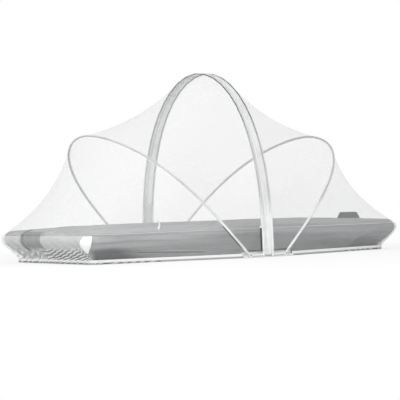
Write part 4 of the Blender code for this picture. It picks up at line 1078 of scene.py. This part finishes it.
def makeTape():
    across = tape["width"] * np.linspace(-0.5, 0.5, tape["columns"])
    foot = crownAt(tape["inset"] + across) + base["gap"] + tape["thickness"] / 2
    top = float(crownAt(tape["inset"])) + tape["rise"]
    share = np.linspace(0.0, 1.0, tape["rows"])[None]
    grid = np.zeros((tape["columns"], tape["rows"], 3))
    grid[..., 0] = tape["along"] + tape["bow"] * np.sin(math.pi * share)
    grid[..., 1] = tape["inset"] - halfWidth + across[:, None]
    grid[..., 2] = foot[:, None] + (top - foot[:, None]) * share
    piece = thicken(surface("tieTape", grid, tapeCloth), tape["thickness"])
    return dress(piece, "base", "white_cloth", "tie_tape")


def nodeBox(name):
    return [np.array(corner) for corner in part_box(name)]


def makeTab():
    low, high = nodeBox("tie_tab")
    u, v = np.meshgrid(np.linspace(0, 1, tab["columns"]), np.linspace(0, 1, tab["rows"]))
    y = (low[1] + high[1]) / 2 - tab["bow"] * np.sin(u * math.pi)
    grid = np.stack([low[0] + (high[0] - low[0]) * u, y, low[2] + (high[2] - low[2]) * v], axis=2)
    piece = thicken(surface("tieTab", grid, bandCloth), high[1] - low[1] - tab["bow"])
    return dress(piece, "centre_left", "white_cloth", "tie_tab")


# a near-black strap beside the left centre hoop's leg, standing in for the shadow line there: painted shadow
def makeStrap():
    low, high = nodeBox("tie_strap")
    leg = centreLine(-1, 400)[:100]
    x, z = np.meshgrid(np.linspace(low[0], high[0], strap["columns"]),
                       np.linspace(low[2], high[2], strap["rows"]))
    y = np.interp(z, leg[:, 2], leg[:, 1])
    y += low[1] + strap["thickness"] / 2 - y.min()
    piece = thicken(surface("tieStrap", np.stack([x, y, z], axis=2), strapShadeCloth), strap["thickness"])
    return dress(piece, "centre_left", "handle_cloth", "tie_strap")


def makeGuard(face):  # cloth standing behind a hub, its top edge wandering
    low, high = nodeBox(f"hub_guard_{face}")
    x, v = np.meshgrid(np.linspace(low[0], high[0], guard["columns"]), np.linspace(0.0, 1.0, guard["rows"]))
    grid = np.stack([x, 0 * x + (low[1] + high[1]) / 2, low[2] + (high[2] - low[2]) * v], axis=2)
    grid[..., 1] += ripple(grid, 71, (0.05, 1.0, 0.03)) * guard["sway"] * v * np.sign(-low[1])
    piece = thicken(surface(f"hubGuard{face.title()}", grid, whiteCloth), guard["thickness"])
    return dress(piece, "base", "white_cloth", f"hub_guard_{face}")


makeHandle()
makeFlap()
makeTape()
makeTab()
makeStrap()
for face in ("front", "back"):
    makeGuard(face)
print("handles, tape and tab made")


# Nodes that keep their own shape get these finishes.

nodeFinish = {wireSteel: ("end_hoop", "centre_hoop", "base_rod"), pinSteel: ("pivot_pin",),
              whitePlastic: ("end_socket", "centre_toe", "hinge_base"), zipPlastic: ("zip_",)}
for finish, starts in nodeFinish.items():
    for name, node in nodes.items():
        if name.startswith(starts):
            for holder in node.material_slots:
                holder.material = finish.material


# Floor, light and camera.

studio = {"ambient": 0.84, "key": 38.0, "keyPlace": (-3.1, -1.7, 1.6), "keySize": 1.8,
          "fill": 60.0, "fillPlace": (-2.2, -5.2, 0.35), "fillSize": 2.6,
          "aim": (-0.3, 0.0, 0.1), "shadow": 0.30, "fade": (0.9, 2.6), "floor": 60.0}


class Sky(Finish):
    def __init__(self, name):
        self.world = bpy.data.worlds.new(name)
        self.world.use_nodes = True
        self.tree = self.world.node_tree
        self.shader = self.tree.nodes["Background"]


def seenStraight(finish):  # 1 for the camera, mirrors and glass, 0 for light
    camera, gloss, glass = (finish.node("ShaderNodeLightPath", output=name)
                            for name in ("Is Camera Ray", "Is Glossy Ray", "Is Transmission Ray"))
    return camera.most(gloss).most(glass)


def makeStudio():
    floor = Finish("floorWhite", Base_Color=(0.9, 0.9, 0.9), Roughness=0.9, Specular_IOR_Level=0.0)
    x, y, _ = floor.parts(floor.place())
    fade = floor.between((x * x + y * y) ** 0.5, *studio["fade"], 1.0 - studio["shadow"], 1.0)
    glow = floor.node("ShaderNodeEmission", {}, {"Color": (1, 1, 1), "Strength": 1.0})
    lit = Signal(floor, floor.shader.outputs[0])
    mixed = floor.node("ShaderNodeMixShader", {}, {0: seenStraight(floor) * fade, 1: lit, 2: glow})
    floor.put(floor.tree.nodes["Material Output"].inputs["Surface"], mixed)
    half = studio["floor"]
    grid = np.array([[(-half, -half, 0), (-half, half, 0)], [(half, -half, 0), (half, half, 0)]], float)
    surface("studioFloor", grid, floor, flip=True)

    sky = Sky("studioSky")
    scene.world = sky.world
    ambient = studio["ambient"]
    sky.feed("Color", (1, 1, 1)).feed("Strength", seenStraight(sky) * (1.0 - ambient) + ambient)

    for name in ("key", "fill"):
        lamp = bpy.data.lights.new(f"{name}Light", "AREA")
        lamp.shape = "DISK"
        lamp.size = studio[f"{name}Size"]
        lamp.energy = studio[name]
        light = bpy.data.objects.new(f"{name}Light", lamp)
        scene.collection.objects.link(light)
        place, aim = np.array(studio[f"{name}Place"]), np.array(studio["aim"])
        look(light, place, aim - place)


def look(thing, place, way, roll=0.0):
    ahead = way / np.linalg.norm(way)
    right = np.cross(ahead, (0, 0, 1.0))
    right /= np.linalg.norm(right)
    up = np.cross(right, ahead)
    turnedRight = right * math.cos(roll) + up * math.sin(roll)
    turnedUp = -right * math.sin(roll) + up * math.cos(roll)
    columns = np.stack([turnedRight, turnedUp, -ahead, place], axis=1)
    thing.matrix_world = Matrix([*columns.tolist(), [0, 0, 0, 1]])


photo = {"place": (-4.12534, -6.02223, 0.26018), "yaw": 0.598438, "pitch": 0.003809,
         "roll": -0.030069, "focal": 1408.411, "width": 400, "sensor": 36.0}


def makeCamera():
    lens = bpy.data.cameras.new("photoCamera")
    lens.sensor_fit = "HORIZONTAL"
    lens.sensor_width = photo["sensor"]
    lens.lens = photo["focal"] / photo["width"] * photo["sensor"]
    lens.clip_end = 200.0
    camera = bpy.data.objects.new("photoCamera", lens)
    scene.collection.objects.link(camera)
    yaw, pitch = photo["yaw"], photo["pitch"]
    way = np.array([math.sin(yaw) * math.cos(pitch), math.cos(yaw) * math.cos(pitch), math.sin(pitch)])
    look(camera, np.array(photo["place"]), way, photo["roll"])
    scene.camera = camera


makeStudio()
makeCamera()
scene.view_settings.view_transform = "Standard"
print("studio made")
